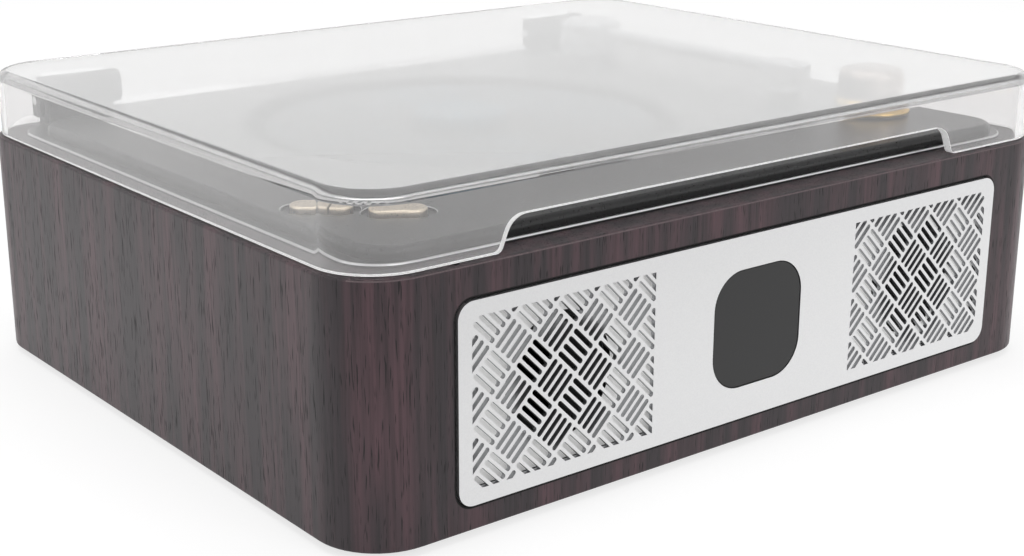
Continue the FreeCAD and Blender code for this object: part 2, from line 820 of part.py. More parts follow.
def make_baffle():
    """Makes the moulded baffle behind the panel, which carries the speakers and the display board."""
    width, height = opening_width - 2 * s.baffle_gap, opening_height - 2 * s.baffle_gap
    corner = s.opening_corner - s.baffle_gap
    depth = s.cabinet_wall - s.panel_rebate - s.baffle_setback
    block = slab("BaffleBlock", width, height, depth, corner, (0, inner_front, panel_level), FORWARD)
    flange_back = inner_front + s.baffle_thickness
    flange = slab(
        "BaffleFlange", opening_width + 2 * s.baffle_flange, opening_height + 2 * s.baffle_flange,
        s.baffle_thickness, s.opening_corner + s.baffle_flange, (0, flange_back, panel_level), FORWARD,
    )
    cavity = slab(
        "BaffleCavity", width - 2 * s.baffle_wall, height - 2 * s.baffle_wall, depth + OVERSHOOT,
        corner - s.baffle_wall, (0, flange_back + OVERSHOOT, panel_level), FORWARD,
    )
    lip_size = s.window_size + 2 * s.window_lip + 2 * s.window_gap
    pad = slab(
        "WindowPad", lip_size + 2 * s.baffle_pad, lip_size + 2 * s.baffle_pad, s.baffle_setback + BITE,
        s.window_corner + s.window_lip + s.baffle_pad, (0, baffle_face + BITE, panel_level), FORWARD,
    )
    seat = slab(
        "WindowSeat", lip_size, lip_size, s.window_lip_thickness + OVERSHOOT, s.window_corner + s.window_lip,
        (0, panel_back + s.window_lip_thickness, panel_level), FORWARD,
    )
    through = baffle_back - panel_back
    light = box("WindowLight", s.display_width - 8, through + 2 * OVERSHOOT, s.display_height - 8,
                (0, baffle_back - through / 2, panel_level - (s.display_height - 8) / 2))
    holes = [
        cylinder("SpeakerHole", s.baffle_hole, s.baffle_thickness + 2 * OVERSHOOT,
                 (x, baffle_face - OVERSHOOT, panel_level), BACKWARD)
        for x in (-speaker_x, speaker_x)
    ]
    for x, z in baffle_screw_points():
        holes.append(cylinder("FlangeHole", s.wood_screw_radius + s.screw_ease,
                              s.baffle_thickness + OVERSHOOT,
                              (x, flange_back + OVERSHOOT / 2, z), FORWARD))
        wood_screw_places.append(spot(x, flange_back, z, FORWARD))
    pilot_depth = s.baffle_thickness - 0.4
    pilots = [point for x in (-speaker_x, speaker_x) for point in speaker_points(x)]
    for x, z in pilots:
        holes.append(cylinder("SpeakerPilot", s.small_screw_radius + s.running_fit, pilot_depth,
                              (x, baffle_back, z), FORWARD))
        small_screw_places.append(spot(x, baffle_back + s.speaker_flange + s.small_screw_length - pilot_depth
                                       - s.speaker_flange, z, FORWARD))
    standoffs = []
    for x, z in display_points():
        standoffs.append(cylinder("DisplayPost", s.standoff_radius - 0.6, s.standoff_height,
                                  (x, baffle_back, z), BACKWARD))
        holes.append(cylinder("DisplayPilot", s.small_screw_radius + s.running_fit, s.standoff_height,
                              (x, baffle_back + s.standoff_height, z), FORWARD))
        small_screw_places.append(spot(x, baffle_back + s.standoff_height + s.board_thickness, z, FORWARD))
    shell = cut("BaffleShell", fuse("BaffleBlank", block, flange, pad), cavity)
    node("speaker_baffle", cut("SpeakerBaffle", fuse("BaffleMoulding", shell, *standoffs), seat, light,
                               *holes))


def make_display():
    """Makes the display board with its digit block, which stands behind the window."""
    board_front = baffle_back + s.standoff_height
    board = box("DisplaySheet", s.display_width, s.board_thickness, s.display_height,
                (0, board_front + s.board_thickness / 2, panel_level - s.display_height / 2))
    digits = box("DisplayDigits", s.display_width - 10, s.standoff_height, s.display_height - 12,
                 (0, board_front - s.standoff_height / 2, panel_level - (s.display_height - 12) / 2))
    holes = [
        cylinder("DisplayHole", s.small_screw_radius + s.screw_ease, s.board_thickness + 2 * OVERSHOOT,
                 (x, board_front - OVERSHOOT, z), BACKWARD)
        for x, z in display_points()
    ]
    node("display_board", cut("DisplayBoard", fuse("DisplayBlank", board, digits), *holes))


def make_speaker(side, x):
    """Makes one loudspeaker behind the baffle: basket, magnet, cone, surround and dust cap."""
    at = (x, baffle_back, panel_level)
    name = side.capitalize()
    square = slab(name + "Flange", s.speaker_size, s.speaker_size, s.speaker_flange, s.speaker_corner, at,
                  BACKWARD)
    throat = cylinder(name + "Throat", s.throat_radius, s.speaker_flange + 2 * OVERSHOOT,
                      (x, baffle_back - OVERSHOOT, panel_level), BACKWARD)
    back = s.basket_depth
    plate = back + s.speaker_flange
    frame = turned(name + "Frame", [
        (s.throat_radius + 0.5, s.speaker_flange), (s.throat_radius + 1.5, s.speaker_flange),
        (s.coil_radius + 4.4, back), (s.coil_radius + 4.4, plate), (s.coil_radius + 0.4, plate),
        (s.coil_radius + 0.4, back), (s.coil_radius + 3.4, back),
    ], at, BACKWARD)
    holes = [
        cylinder(name + "Hole", s.small_screw_radius + s.screw_ease, s.speaker_flange + 2 * OVERSHOOT,
                 (across, baffle_back - OVERSHOOT, up), BACKWARD)
        for across, up in speaker_points(x)
    ]
    node(f"{side}_speaker_basket", cut(name + "Basket", fuse(name + "BasketBlank", square, frame), throat,
                                       *holes))
    ring = plate + s.magnet_height
    pole = s.coil_radius - 1.2
    node(f"{side}_speaker_magnet", turned(name + "Magnet", [
        (0, back), (pole, back), (pole, ring), (s.coil_radius + 1.3, ring), (s.coil_radius + 1.3, plate),
        (s.magnet_radius, plate), (s.magnet_radius, ring), (s.magnet_radius - 1, ring),
        (s.magnet_radius - 1, ring + s.yoke_thickness), (0, ring + s.yoke_thickness),
    ], at, BACKWARD))
    rim = 0.3
    throat_edge = s.cone_radius - s.running_fit
    coil_inner = s.coil_radius - 0.6
    node(f"{side}_speaker_cone", turned(name + "Cone", [
        (throat_edge, rim), (throat_edge, rim + s.cone_paper),
        (s.coil_radius, s.cone_depth + 2 * s.cone_paper),
        (s.coil_radius, plate + 1), (coil_inner, plate + 1), (coil_inner, s.cone_depth),
    ], at, BACKWARD))
    outer = s.throat_radius - s.running_fit
    node(f"{side}_speaker_surround", turned(name + "Surround", [
        (s.cone_radius, rim), (s.cone_radius + 0.5, 0.1), (outer - 0.5, 0.1), (outer, rim),
        (outer, rim + 0.6),
        (outer - 0.5, 0.7), (s.cone_radius + 0.5, 0.7), (s.cone_radius, rim + 0.6),
    ], at, BACKWARD))
    cap = coil_inner - s.running_fit
    crown = s.cone_depth - 1.7
    node(f"{side}_speaker_dust_cap", turned(name + "DustCap", [
        (0, crown), (cap / 2, crown + 0.4), (cap, crown + 1.7), (cap, crown + 2.3), (cap / 2, crown + 1.0),
        (0, crown + 0.6),
    ], at, BACKWARD))


def deck_screw_points():
    """Returns the plan points of the screws that come up through the cleats into the deck."""
    across = half_width - s.cabinet_wall - s.cleat_reach / 2
    return [(x, y) for x in (-across, across) for y in (front + s.cleat_front, rear - s.cleat_rear)]


def chassis_points():
    """Returns the plan points of the pillars that carry the disc mechanism on its dampers."""
    return [
        (s.well_x + sign * s.damper_x, s.well_y + dy)
        for sign in (-1, 1) for dy in (-s.damper_front, s.damper_rear)
    ]


def key_board_points():
    """Returns the plan points of the posts that carry the key board under the deck."""
    left, right, near, far = key_board_edges()
    inset = s.key_board_inset
    return [(right - inset, far - inset), (left + inset, near + inset)]


def key_board_edges():
    """Returns the key board's left, right, front and rear edges."""
    return (skip_x - s.key_board_left, skip_x + s.key_board_right,
            skip_y - s.key_board_front, skip_y + s.key_board_rear)


def peg_points(x):
    """Returns the plan points of the pegs that hold the hinge block at x in the rear wall."""
    y = rear - s.hinge_front + s.hinge_depth / 2
    return [(x - s.hinge_width / 4, y), (x + s.hinge_width / 4, y)]


def deck_moulding():
    """Makes the deck's shell: flange, raised plinth, locating lip, disc well and the posts under it."""
    flange_depth = s.cabinet_depth - s.flange_front - s.flange_rear
    flange = slab("DeckFlange", s.cabinet_width - 2 * s.flange_side, flange_depth, s.flange_thickness,
                  s.flange_corner, (0, (s.flange_front - s.flange_rear) / 2, wood_top))
    plinth_depth = s.cabinet_depth - s.plinth_front - s.plinth_rear
    plinth_y = (s.plinth_front - s.plinth_rear) / 2
    plinth_width = s.cabinet_width - 2 * s.plinth_side
    plinth = slab("DeckPlinth", plinth_width, plinth_depth, s.plinth_height, s.plinth_corner,
                  (0, plinth_y, wood_top))
    soften(plinth, is_top, s.plinth_round)
    lip_inset = s.cabinet_wall + s.lip_gap
    lip_corner = s.cabinet_corner - s.cabinet_wall
    lip_depth = s.cabinet_depth - 2 * lip_inset
    lip = slab("DeckLip", s.cabinet_width - 2 * lip_inset, lip_depth, s.deck_lip, lip_corner,
               (0, 0, lip_bottom))
    hollow_front = lip_inset + s.deck_wall
    hollow_rear = s.plinth_rear + s.deck_wall
    hollow = slab("DeckHollow", plinth_width - 2 * s.deck_wall, s.cabinet_depth - hollow_front - hollow_rear,
                  deck_under - lip_bottom + OVERSHOOT, lip_corner,
                  (0, (hollow_front - hollow_rear) / 2, lip_bottom - OVERSHOOT))
    shell = cut("DeckShell", fuse("DeckBlank", flange, plinth, lip), hollow)
    cup = cylinder("WellCup", s.well_radius + s.deck_wall, deck_under - well_under + BITE,
                   (s.well_x, s.well_y, well_under))
    posts = [
        cylinder("DeckBoss", s.boss_radius, deck_under - lip_bottom + BITE, (x, y, lip_bottom))
        for x, y in deck_screw_points()
    ]
    for x, y in chassis_points():
        posts.append(cylinder("ChassisPillar", s.pillar_radius,
                              well_under - chassis_under + s.damper_flange + BITE,
                              (x, y, chassis_under - s.damper_flange)))
        posts.append(cylinder("ChassisShoulder", s.damper_radius - 0.6,
                              s.chassis_drop - s.damper_flange + BITE,
                              (x, y, chassis_top + s.damper_flange)))
    for x, y in key_board_points():
        posts.append(cylinder("KeyBoardPost", s.boss_radius - 1.2, deck_under - board_top + BITE,
                              (x, y, board_top)))
    return fuse("DeckMoulding", shell, cup, *posts)


def make_deck():
    """Makes the black deck, with its well, key holes and screw holes, and the cleats that carry it."""
    well_top = s.well_depth + OVERSHOOT
    well = turned("DiscWell", [
        (0, 0), (s.well_radius, 0), (s.well_radius, s.well_depth - s.well_rim),
        (s.well_radius + s.well_rim, s.well_depth), (s.well_radius + s.well_rim, well_top), (0, well_top),
    ], (s.well_x, s.well_y, well_level))
    floor_cut = s.well_floor + 2 * OVERSHOOT
    spindle_hole = cylinder("SpindleHole", s.hub_boss + 1.5, floor_cut,
                            (s.well_x, s.well_y, well_under - OVERSHOOT))
    slot_width = s.turret_size + 2 * s.turret_gap
    slot_length = s.sled_travel + slot_width
    slot_y = lens_y - s.sled_travel / 2
    pickup_slot = box("PickupSlot", slot_width, slot_length, floor_cut,
                      (s.well_x, slot_y, well_under - OVERSHOOT))
    tools = [well, spindle_hole, pickup_slot]
    for name, x, y, angle in (("Skip", skip_x, skip_y, s.skip_angle),
                              ("Play", play_x, play_y, s.play_angle)):
        margin = 2 * s.recess_margin
        tools.append(pill(name + "Recess", s.key_length + margin, s.key_width + margin,
                          s.recess_depth + OVERSHOOT,
                          (x, y, deck_top - s.recess_depth), angle))
        margin = 2 * s.key_clearance
        tools.append(pill(name + "Opening", s.key_length + margin, s.key_width + margin,
                          s.deck_shell + 2 * OVERSHOOT,
                          (x, y, deck_under - OVERSHOOT), angle))
    bush = s.shaft_radius + s.bush_wall + 0.2
    tools.append(cylinder("BushHole", bush, s.deck_shell + 2 * OVERSHOOT,
                          (knob_x, knob_y, deck_under - OVERSHOOT)))
    pilot = s.small_screw_radius + s.running_fit
    for x, y in deck_screw_points():
        tools.append(cylinder("BossPilot", s.wood_screw_radius + s.running_fit, deck_under - lip_bottom,
                              (x, y, lip_bottom)))
    for x, y in chassis_points():
        tools.append(cylinder("PillarPilot", pilot, s.small_screw_length + 0.5,
                              (x, y, chassis_under - s.damper_flange)))
    for x, y in key_board_points():
        tools.append(cylinder("KeyBoardPilot", pilot, s.small_screw_length, (x, y, board_top)))
    for x, y in arm_screw_points():
        tools.append(cylinder("ArmHole", pilot + s.screw_ease, s.deck_shell + 2 * OVERSHOOT,
                              (x, y, deck_under - OVERSHOOT)))
    node("deck", cut("Deck", deck_moulding(), *tools))
    make_cleats()


def make_cleats():
    """Makes the wooden cleats on the side walls, and places the screws that pass through them."""
    cleats = []
    for x, y in deck_screw_points():
        block = box("Cleat", s.cleat_reach, s.cleat_length, s.cleat_height,
                    (x, y, lip_bottom - s.cleat_height))
        sink = s.cleat_height - s.wood_screw_length / 2
        hole = cylinder("CleatHole", s.wood_screw_radius + s.screw_ease, s.cleat_height,
                        (x, y, lip_bottom - s.cleat_height))
        well = cylinder("CleatSink", s.wood_head_radius + 0.4, sink, (x, y, lip_bottom - s.cleat_height))
        cleats.append(cut("CleatBlock", block, hole, well))
        wood_screw_places.append(spot(x, y, lip_bottom - s.wood_screw_length / 2))
    node("deck_cleats", compound("DeckCleats", cleats))


def make_chassis():
    """Makes the mechanism's steel chassis, its rubber dampers and the screws that hold them."""
    depth = s.chassis_front + s.chassis_rear
    middle_y = s.well_y + (s.chassis_rear - s.chassis_front) / 2
    plate = slab("ChassisPlate", s.chassis_width, depth, s.chassis_thickness, 3,
                 (s.well_x, middle_y, chassis_under))
    holders = []
    holder_height = s.rod_drop + s.rod_radius + s.holder_wall
    half_holder = s.holder_length / 2
    for sign in (-1, 1):
        for y in (rod_front() + half_holder, rod_rear() - half_holder):
            holders.append(box("RodHolder", 2 * (s.rod_radius + s.holder_wall), s.holder_length,
                               holder_height,
                               (s.well_x + sign * s.rod_spread, y, chassis_under - holder_height)))
    chassis_edge = s.well_y - s.chassis_front
    tab_y = chassis_edge + s.chassis_thickness / 2
    tab_height = s.rod_drop + s.sled_motor_radius
    holders.append(box("MotorTab", 2 * s.sled_motor_radius, s.chassis_thickness, tab_height,
                       (s.well_x + s.screw_offset, tab_y, chassis_under - tab_height)))
    lead_height = s.rod_drop + s.lead_radius + s.holder_wall
    holders.append(box("LeadHolder", 2 * (s.lead_radius + s.holder_wall), s.holder_length, lead_height,
                       (s.well_x + s.screw_offset, rod_rear() - half_holder, chassis_under - lead_height)))
    slot_width = s.turret_size + 2 * s.turret_gap
    slot_y = lens_y - s.sled_travel / 2
    tools = [
        box("ChassisSlot", slot_width, s.sled_travel + slot_width, s.chassis_thickness + 2 * OVERSHOOT,
            (s.well_x, slot_y, chassis_under - OVERSHOOT)),
        cylinder("ChassisHole", s.hub_boss + 1, s.chassis_thickness + 2 * OVERSHOOT,
                 (s.well_x, s.well_y, chassis_under - OVERSHOOT)),
        cylinder("LeadHole", s.lead_radius + s.running_fit, rod_rear() - chassis_edge + 2 * OVERSHOOT,
                 (s.well_x + s.screw_offset, chassis_edge - OVERSHOOT, rod_level), BACKWARD),
    ]
    tools += [
        cylinder("RodHole", s.rod_radius + 0.02, rod_rear() - rod_front(),
                 (s.well_x + sign * s.rod_spread, rod_front(), rod_level),
                 BACKWARD)
        for sign in (-1, 1)
    ]
    tools += [
        cylinder("DamperHole", s.damper_neck, s.chassis_thickness + 2 * OVERSHOOT,
                 (x, y, chassis_under - OVERSHOOT))
        for x, y in chassis_points()
    ]
    node("mechanism_chassis", cut("MechanismChassis", fuse("ChassisBlank", plate, *holders), *tools))
    bore, neck, flange = s.pillar_radius + s.damper_ease, s.damper_neck, s.damper_flange
    top = 2 * flange + s.chassis_thickness
    dampers = [
        turned("Damper", [
            (bore, 0), (s.damper_radius, 0), (s.damper_radius, flange), (neck, flange),
            (neck, flange + s.chassis_thickness), (s.damper_radius, flange + s.chassis_thickness),
            (s.damper_radius, top), (bore, top),
        ], (x, y, chassis_under - flange))
        for x, y in chassis_points()
    ]
    node("chassis_dampers", compound("ChassisDampers", dampers))
    for x, y in chassis_points():
        small_screw_places.append(spot(x, y, chassis_under - s.damper_flange))


def rod_front():
    """Returns where the guide rods start, past the sled's furthest reach and its holders."""
    return lens_y - s.sled_travel - s.sled_length / 2 - s.holder_length - s.holder_gap


def rod_rear():
    """Returns where the guide rods end, beside the spindle motor."""
    return lens_y + s.sled_length / 2 + s.holder_length + 10 * s.holder_gap


def make_spindle():
    """Makes the spindle motor with its shaft, the hub, the disc and the clamp that holds it down."""
    at = (s.well_x, s.well_y, chassis_under - s.motor_height)
    can = cylinder("MotorCan", s.motor_radius, s.motor_height, at)
    bore = cylinder("MotorBore", s.spindle_radius + s.running_fit, s.motor_height,
                    (s.well_x, s.well_y, chassis_under - s.motor_height + 1))
    node("spindle_motor", cut("SpindleMotor", can, bore))
    nose_top = disc_top + s.hub_nose
    shaft_bottom = chassis_under - s.motor_height + 1.3
    node("spindle_shaft", cylinder("SpindleShaft", s.spindle_radius, nose_top - 0.4 - shaft_bottom,
                                   (s.well_x, s.well_y, shaft_bottom)))
    level = hub_under - 2.5
    node("spindle_hub", turned("SpindleHub", [
        (s.spindle_radius, 0), (s.hub_boss, 0), (s.hub_boss, hub_under - level),
        (s.hub_radius, hub_under - level),
        (s.hub_radius, disc_under - level), (s.disc_hole - s.hub_fit, disc_under - level),
        (s.disc_hole - s.hub_fit, disc_top - level), (s.disc_hole - 1.4, nose_top - level),
        (s.spindle_radius, nose_top - level),
    ], (s.well_x, s.well_y, level)))
    node("compact_disc", turned("CompactDisc", [
        (s.disc_hole, 0), (s.disc_radius, 0), (s.disc_radius, s.disc_thickness),
        (s.disc_hole, s.disc_thickness),
    ], (s.well_x, s.well_y, disc_under)))
    nest = s.disc_hole - 0.05
    puck = turned("ClampPuck", [
        (nest, 0), (s.puck_radius, 0), (s.puck_radius, s.puck_height), (0, s.puck_height),
        (0, s.hub_nose + 0.3), (nest, s.hub_nose + 0.3),
    ], (s.well_x, s.well_y, disc_top))
    node("clamp_puck", soften(puck, is_outer_top, s.hub_nose / 2))


def make_pickup():
    """Makes the pickup sled with its lens, the rods it slides on and the lead screw that drives it."""
    length = rod_rear() - rod_front()
    rods = [
        cylinder("GuideRod", s.rod_radius, length, (s.well_x + sign * s.rod_spread, rod_front(), rod_level),
                 BACKWARD)
        for sign in (-1, 1)
    ]
    node("guide_rods", compound("GuideRods", rods))
    sled_bottom = rod_level - s.sled_height / 2
    wide = s.rod_spread + s.rod_radius + 2
    far = s.screw_offset + s.lead_radius + 2
    body = box("SledBody", wide + far, s.sled_length, s.sled_height,
               (s.well_x + (far - wide) / 2, lens_y, sled_bottom))
    turret_top = disc_under - s.lens_gap - s.lens_height
    turret = box("SledTurret", s.turret_size, s.turret_size, turret_top - sled_bottom,
                 (s.well_x, lens_y, sled_bottom))
    start = lens_y - s.sled_length / 2 - OVERSHOOT
    run = s.sled_length + 2 * OVERSHOOT
    tools = [
        cylinder("SledBore", s.rod_radius + s.running_fit, run,
                 (s.well_x + sign * s.rod_spread, start, rod_level), BACKWARD)
        for sign in (-1, 1)
    ]
    tools.append(cylinder("NutBore", s.lead_radius + s.nut_gap, run,
                          (s.well_x + s.screw_offset, start, rod_level), BACKWARD))
    node("pickup_sled", cut("PickupSled", fuse("SledBlank", body, turret), *tools))
    node("objective_lens", turned("ObjectiveLens", [
        (0, 0), (s.lens_radius + 1.2, 0), (s.lens_radius + 1.2, s.lens_height / 2),
        (s.lens_radius, s.lens_height / 2),
        (s.lens_radius / 2, s.lens_height), (0, s.lens_height),
    ], (s.well_x, lens_y, turret_top)))
    motor_front = s.well_y - s.chassis_front
    lead_start = motor_front - 3
    node("lead_screw", cylinder("LeadScrew", s.lead_radius, rod_rear() - lead_start,
                                (s.well_x + s.screw_offset, lead_start, rod_level), BACKWARD))
    can = cylinder("SledMotorCan", s.sled_motor_radius, s.sled_motor_length,
                   (s.well_x + s.screw_offset, motor_front, rod_level), FORWARD)
    bore = cylinder("SledMotorBore", s.lead_radius + s.running_fit, 4,
                    (s.well_x + s.screw_offset, motor_front, rod_level), FORWARD)
    node("sled_motor", cut("SledMotor", can, bore))


def key(label, name, x, y, angle, cutter=None):
    """Makes one key: a pill or half of one, with a lip that stops under the deck and a stem below."""
    cap = pill(name + "Cap", s.key_length, s.key_width, key_top - key_lip_under, (x, y, key_lip_under), angle)
    soften(cap, is_top, s.key_round)
    lip = pill(name + "Lip", s.key_length + 2 * s.key_lip, s.key_width + 2 * s.key_lip, s.key_lip_thickness,
               (x, y, key_lip_under), angle)
    blank = fuse(name + "Blank", cap, lip)
    half = cut(name + "Half", blank, cutter) if cutter else blank
    stem_x, stem_y = switch_spot(label)
    stem_bottom = switch_top - 0.4
    stem = cylinder(name + "Stem", s.key_stem, key_lip_under - stem_bottom + BITE,
                    (stem_x, stem_y, stem_bottom))
    node(label, fuse(name + "Key", half, stem))


def switch_spot(label):
    """Returns the plan point of the switch under a key."""
    along = {"previous_button": -1, "next_button": 1, "play_button": 0}[label]
    x, y, angle = (play_x, play_y, s.play_angle) if along == 0 else (skip_x, skip_y, s.skip_angle)
    reach = along * s.key_length / 4
    turn = math.radians(angle.value)
    return x + reach * math.cos(turn), y + reach * math.sin(turn)


def make_keys():
    """Makes the skip keys, which are two halves of one pill, the play key, and the board under them."""
    across = s.key_length + 2 * s.key_lip
    height = key_top - key_lip_under + 2 * OVERSHOOT
    near, far = -s.key_gap / 2, across
    for label, name, sides in (("previous_button", "Previous", (near, far)),
                               ("next_button", "Next", (-far, -near))):
        low, high = sides
        points = [(low, -across), (high, -across), (high, across), (low, across)]
        cutter = outline(name + "Cutter", points, height, (skip_x, skip_y, key_lip_under - OVERSHOOT))
        cutter.setExpression("Placement.Rotation.Angle", s.skip_angle.text)
        key(label, name, skip_x, skip_y, s.skip_angle, cutter)
    key("play_button", "Play", play_x, play_y, s.play_angle)
    switches = []
    for label in ("previous_button", "next_button", "play_button"):
        x, y = switch_spot(label)
        housing = box("SwitchHousing", s.switch_size, s.switch_size, s.switch_height, (x, y, board_top))
        bore = cylinder("SwitchBore", s.key_stem + 2 * s.running_fit, s.switch_height,
                        (x, y, board_top + s.switch_height - s.key_travel - 1))
        switches.append(cut("KeySwitch", housing, bore))
    node("key_switches", compound("KeySwitches", switches))
    left, right, near, far = key_board_edges()
    board = box("KeySheet", right - left, far - near, s.board_thickness,
                ((left + right) / 2, (near + far) / 2, board_top - s.board_thickness))
    holes = []
    for x, y in key_board_points():
        holes.append(cylinder("KeyBoardHole", s.small_screw_radius + s.screw_ease,
                              s.board_thickness + 2 * OVERSHOOT,
                              (x, y, board_top - s.board_thickness - OVERSHOOT)))
        small_screw_places.append(spot(x, y, board_top - s.board_thickness))
    node("button_board", cut("ButtonBoard", board, *holes))


def make_volume():
    """Makes the potentiometer under the deck, its nut, and the brass knob with the shaft that it turns."""
    x, y = knob_x, knob_y
    bush_top = deck_top + s.nut_height + 0.6
    body = box("PotBody", s.pot_size, s.pot_size, s.pot_height, (x, y, deck_under - s.pot_height))
    bush = cylinder("PotBush", s.shaft_radius + s.bush_wall, bush_top - deck_under + 0.5,
                    (x, y, deck_under - 0.5))
    bore = cylinder("PotBore", s.shaft_radius + s.running_fit, bush_top - deck_under + s.pot_height,
                    (x, y, deck_under - s.pot_height + 2))
    node("volume_potentiometer", cut("VolumePotentiometer", fuse("PotBlank", body, bush), bore))
    hexagon = doc.addObject("Part::Prism", "NutPrism")
    bind(hexagon, Circumradius=s.nut_radius, Height=s.nut_height)
    place(hexagon, (x, y, deck_top))
    thread = cylinder("NutThread", s.shaft_radius + s.bush_wall + s.running_fit, s.nut_height + 2 * OVERSHOOT,
                      (x, y, deck_top - OVERSHOOT))
    node("potentiometer_nut", cut("PotentiometerNut", hexagon, thread))
    roof = s.nut_height + 1.4
    socket_top = s.knob_height - 2.5
    knob = turned("Knob", [
        (s.knob_cavity, s.knob_gap), (s.knob_skirt, s.knob_gap), (s.knob_skirt, s.knob_gap + 1.1),
        (s.knob_radius, s.knob_gap + 2.4), (s.knob_radius, s.knob_height), (0, s.knob_height),
        (0, socket_top),
        (s.shaft_radius, socket_top), (s.shaft_radius, roof), (s.knob_cavity, roof),
    ], (x, y, deck_top))
    node("volume_knob", soften(knob, is_outer_top, s.knob_round))
    shaft_bottom = deck_under - s.pot_height + 2.3
    node("volume_shaft", cylinder("VolumeShaft", s.shaft_radius, deck_top + socket_top - shaft_bottom,
                                  (x, y, shaft_bottom)))


def arm_screw_points():
    """Returns the plan points of the screws that hold the arm's base and its rest from below."""
    reach = s.arm_base_radius - 4
    return [(arm_x - reach, arm_y), (arm_x + reach, arm_y), (arm_x, rest_y)]


def make_arm():
    """Makes the arm: a base with its post, the housing that turns on it, the tube, the head and its rest."""
    x, y = arm_x, arm_y
    post_top = s.arm_height - 2.5
    base = turned("ArmBaseBlank", [
        (0, 0), (s.arm_base_radius, 0), (s.arm_base_radius, s.arm_base_height),
        (s.arm_post, s.arm_base_height),
        (s.arm_post, post_top), (0, post_top),
    ], (x, y, deck_top))
    pilot = s.small_screw_radius + s.running_fit
    pilots = [cylinder("ArmPilot", pilot, s.arm_base_height - 0.8, (px, py, deck_top)) for px,
              py in arm_screw_points()[:2]]
    node("arm_base", cut("ArmBase", base, *pilots))
    under = s.arm_base_height + s.arm_gap
    bore = s.arm_post + s.running_fit
    housing = turned("ArmHousingBlank", [
        (bore, under), (s.arm_base_radius, under), (s.arm_base_radius, s.arm_height), (0, s.arm_height),
        (0, post_top + s.arm_gap), (bore, post_top + s.arm_gap),
    ], (x, y, deck_top))
    soften(housing, is_outer_top, s.arm_round)
    level = deck_top + s.arm_level
    tube_start = y - s.arm_base_radius + s.tube_socket
    head_rear = rest_y + s.head_length / 2
    tube_end = head_rear - s.tube_socket
    socket = cylinder("ArmSocket", s.tube_radius, s.arm_base_radius, (x, tube_start, level), FORWARD)
    node("arm_housing", cut("ArmHousing", housing, socket))
    node("arm_tube", cylinder("ArmTube", s.tube_radius, tube_start - tube_end, (x, tube_start, level),
                              FORWARD))
    wide, nose = s.head_width / 2, s.head_nose / 2
    shell = outline("ArmHeadShell", [
        (-nose, 0), (nose, 0), (wide, 0.45 * s.head_length), (wide, s.head_length), (-wide, s.head_length),
        (-wide, 0.45 * s.head_length),
    ], s.head_thickness, (x, head_rear - s.head_length, level - s.head_thickness / 2))
    soften(shell, is_upright, 1.6)
    soften(shell, is_top, 0.8)
    socket = cylinder("HeadSocket", s.tube_radius, s.tube_socket + OVERSHOOT,
                      (x, head_rear + OVERSHOOT, level), FORWARD)
    node("arm_head", cut("ArmHead", shell, socket))
    rest_height = s.arm_level - s.head_thickness / 2 - s.arm_gap
    rest = turned("ArmRestBlank", [
        (0, 0), (s.rest_radius + 1, 0), (s.rest_radius + 1, 0.8), (s.rest_radius, 1.4),
        (s.rest_radius, rest_height),
        (0, rest_height),
    ], (x, rest_y, deck_top))
    rest_pilot = cylinder("RestPilot", pilot, s.small_screw_length, (x, rest_y, deck_top))
    node("arm_rest", cut("ArmRest", rest, rest_pilot))
    seat = deck_under
    for px, py in arm_screw_points():
        small_screw_places.append(spot(px, py, seat))


def notch_tool():
    """Makes the body that cuts the finger notch in the cover's front wall, with its corners rounded."""
    left, right = s.notch_left - half_width, half_width - s.notch_right
    flare = 2 * s.notch_foot
    points = [
        (left - flare, -OVERSHOOT), (right + flare, -OVERSHOOT), (right + flare, 0), (right, 0),
        (right - s.notch_slope, s.notch_height), (left + s.notch_slope, s.notch_height), (left, 0),
        (left - flare, 0),
    ]
    depth = s.cover_wall + 2 * OVERSHOOT
    tool = outline("NotchTool", points, depth, (0, front + s.cover_inset + s.cover_wall + OVERSHOOT,
                                                cover_bottom), FORWARD)
    level = s.notch_height.value

    def is_upper(edge, shape):
        return is_upright(edge, shape) and edge.BoundBox.YMin > level - 1e-4

    ends = (left.value, right.value)

    def is_foot(edge, shape):
        bounds = edge.BoundBox
        near = min(abs(bounds.XMin - x) for x in ends)
        return is_upright(edge, shape) and abs(bounds.YMin) < 1e-4 and near < 1e-4

    soften(tool, is_upper, s.notch_round)
    return soften(tool, is_foot, s.notch_foot)


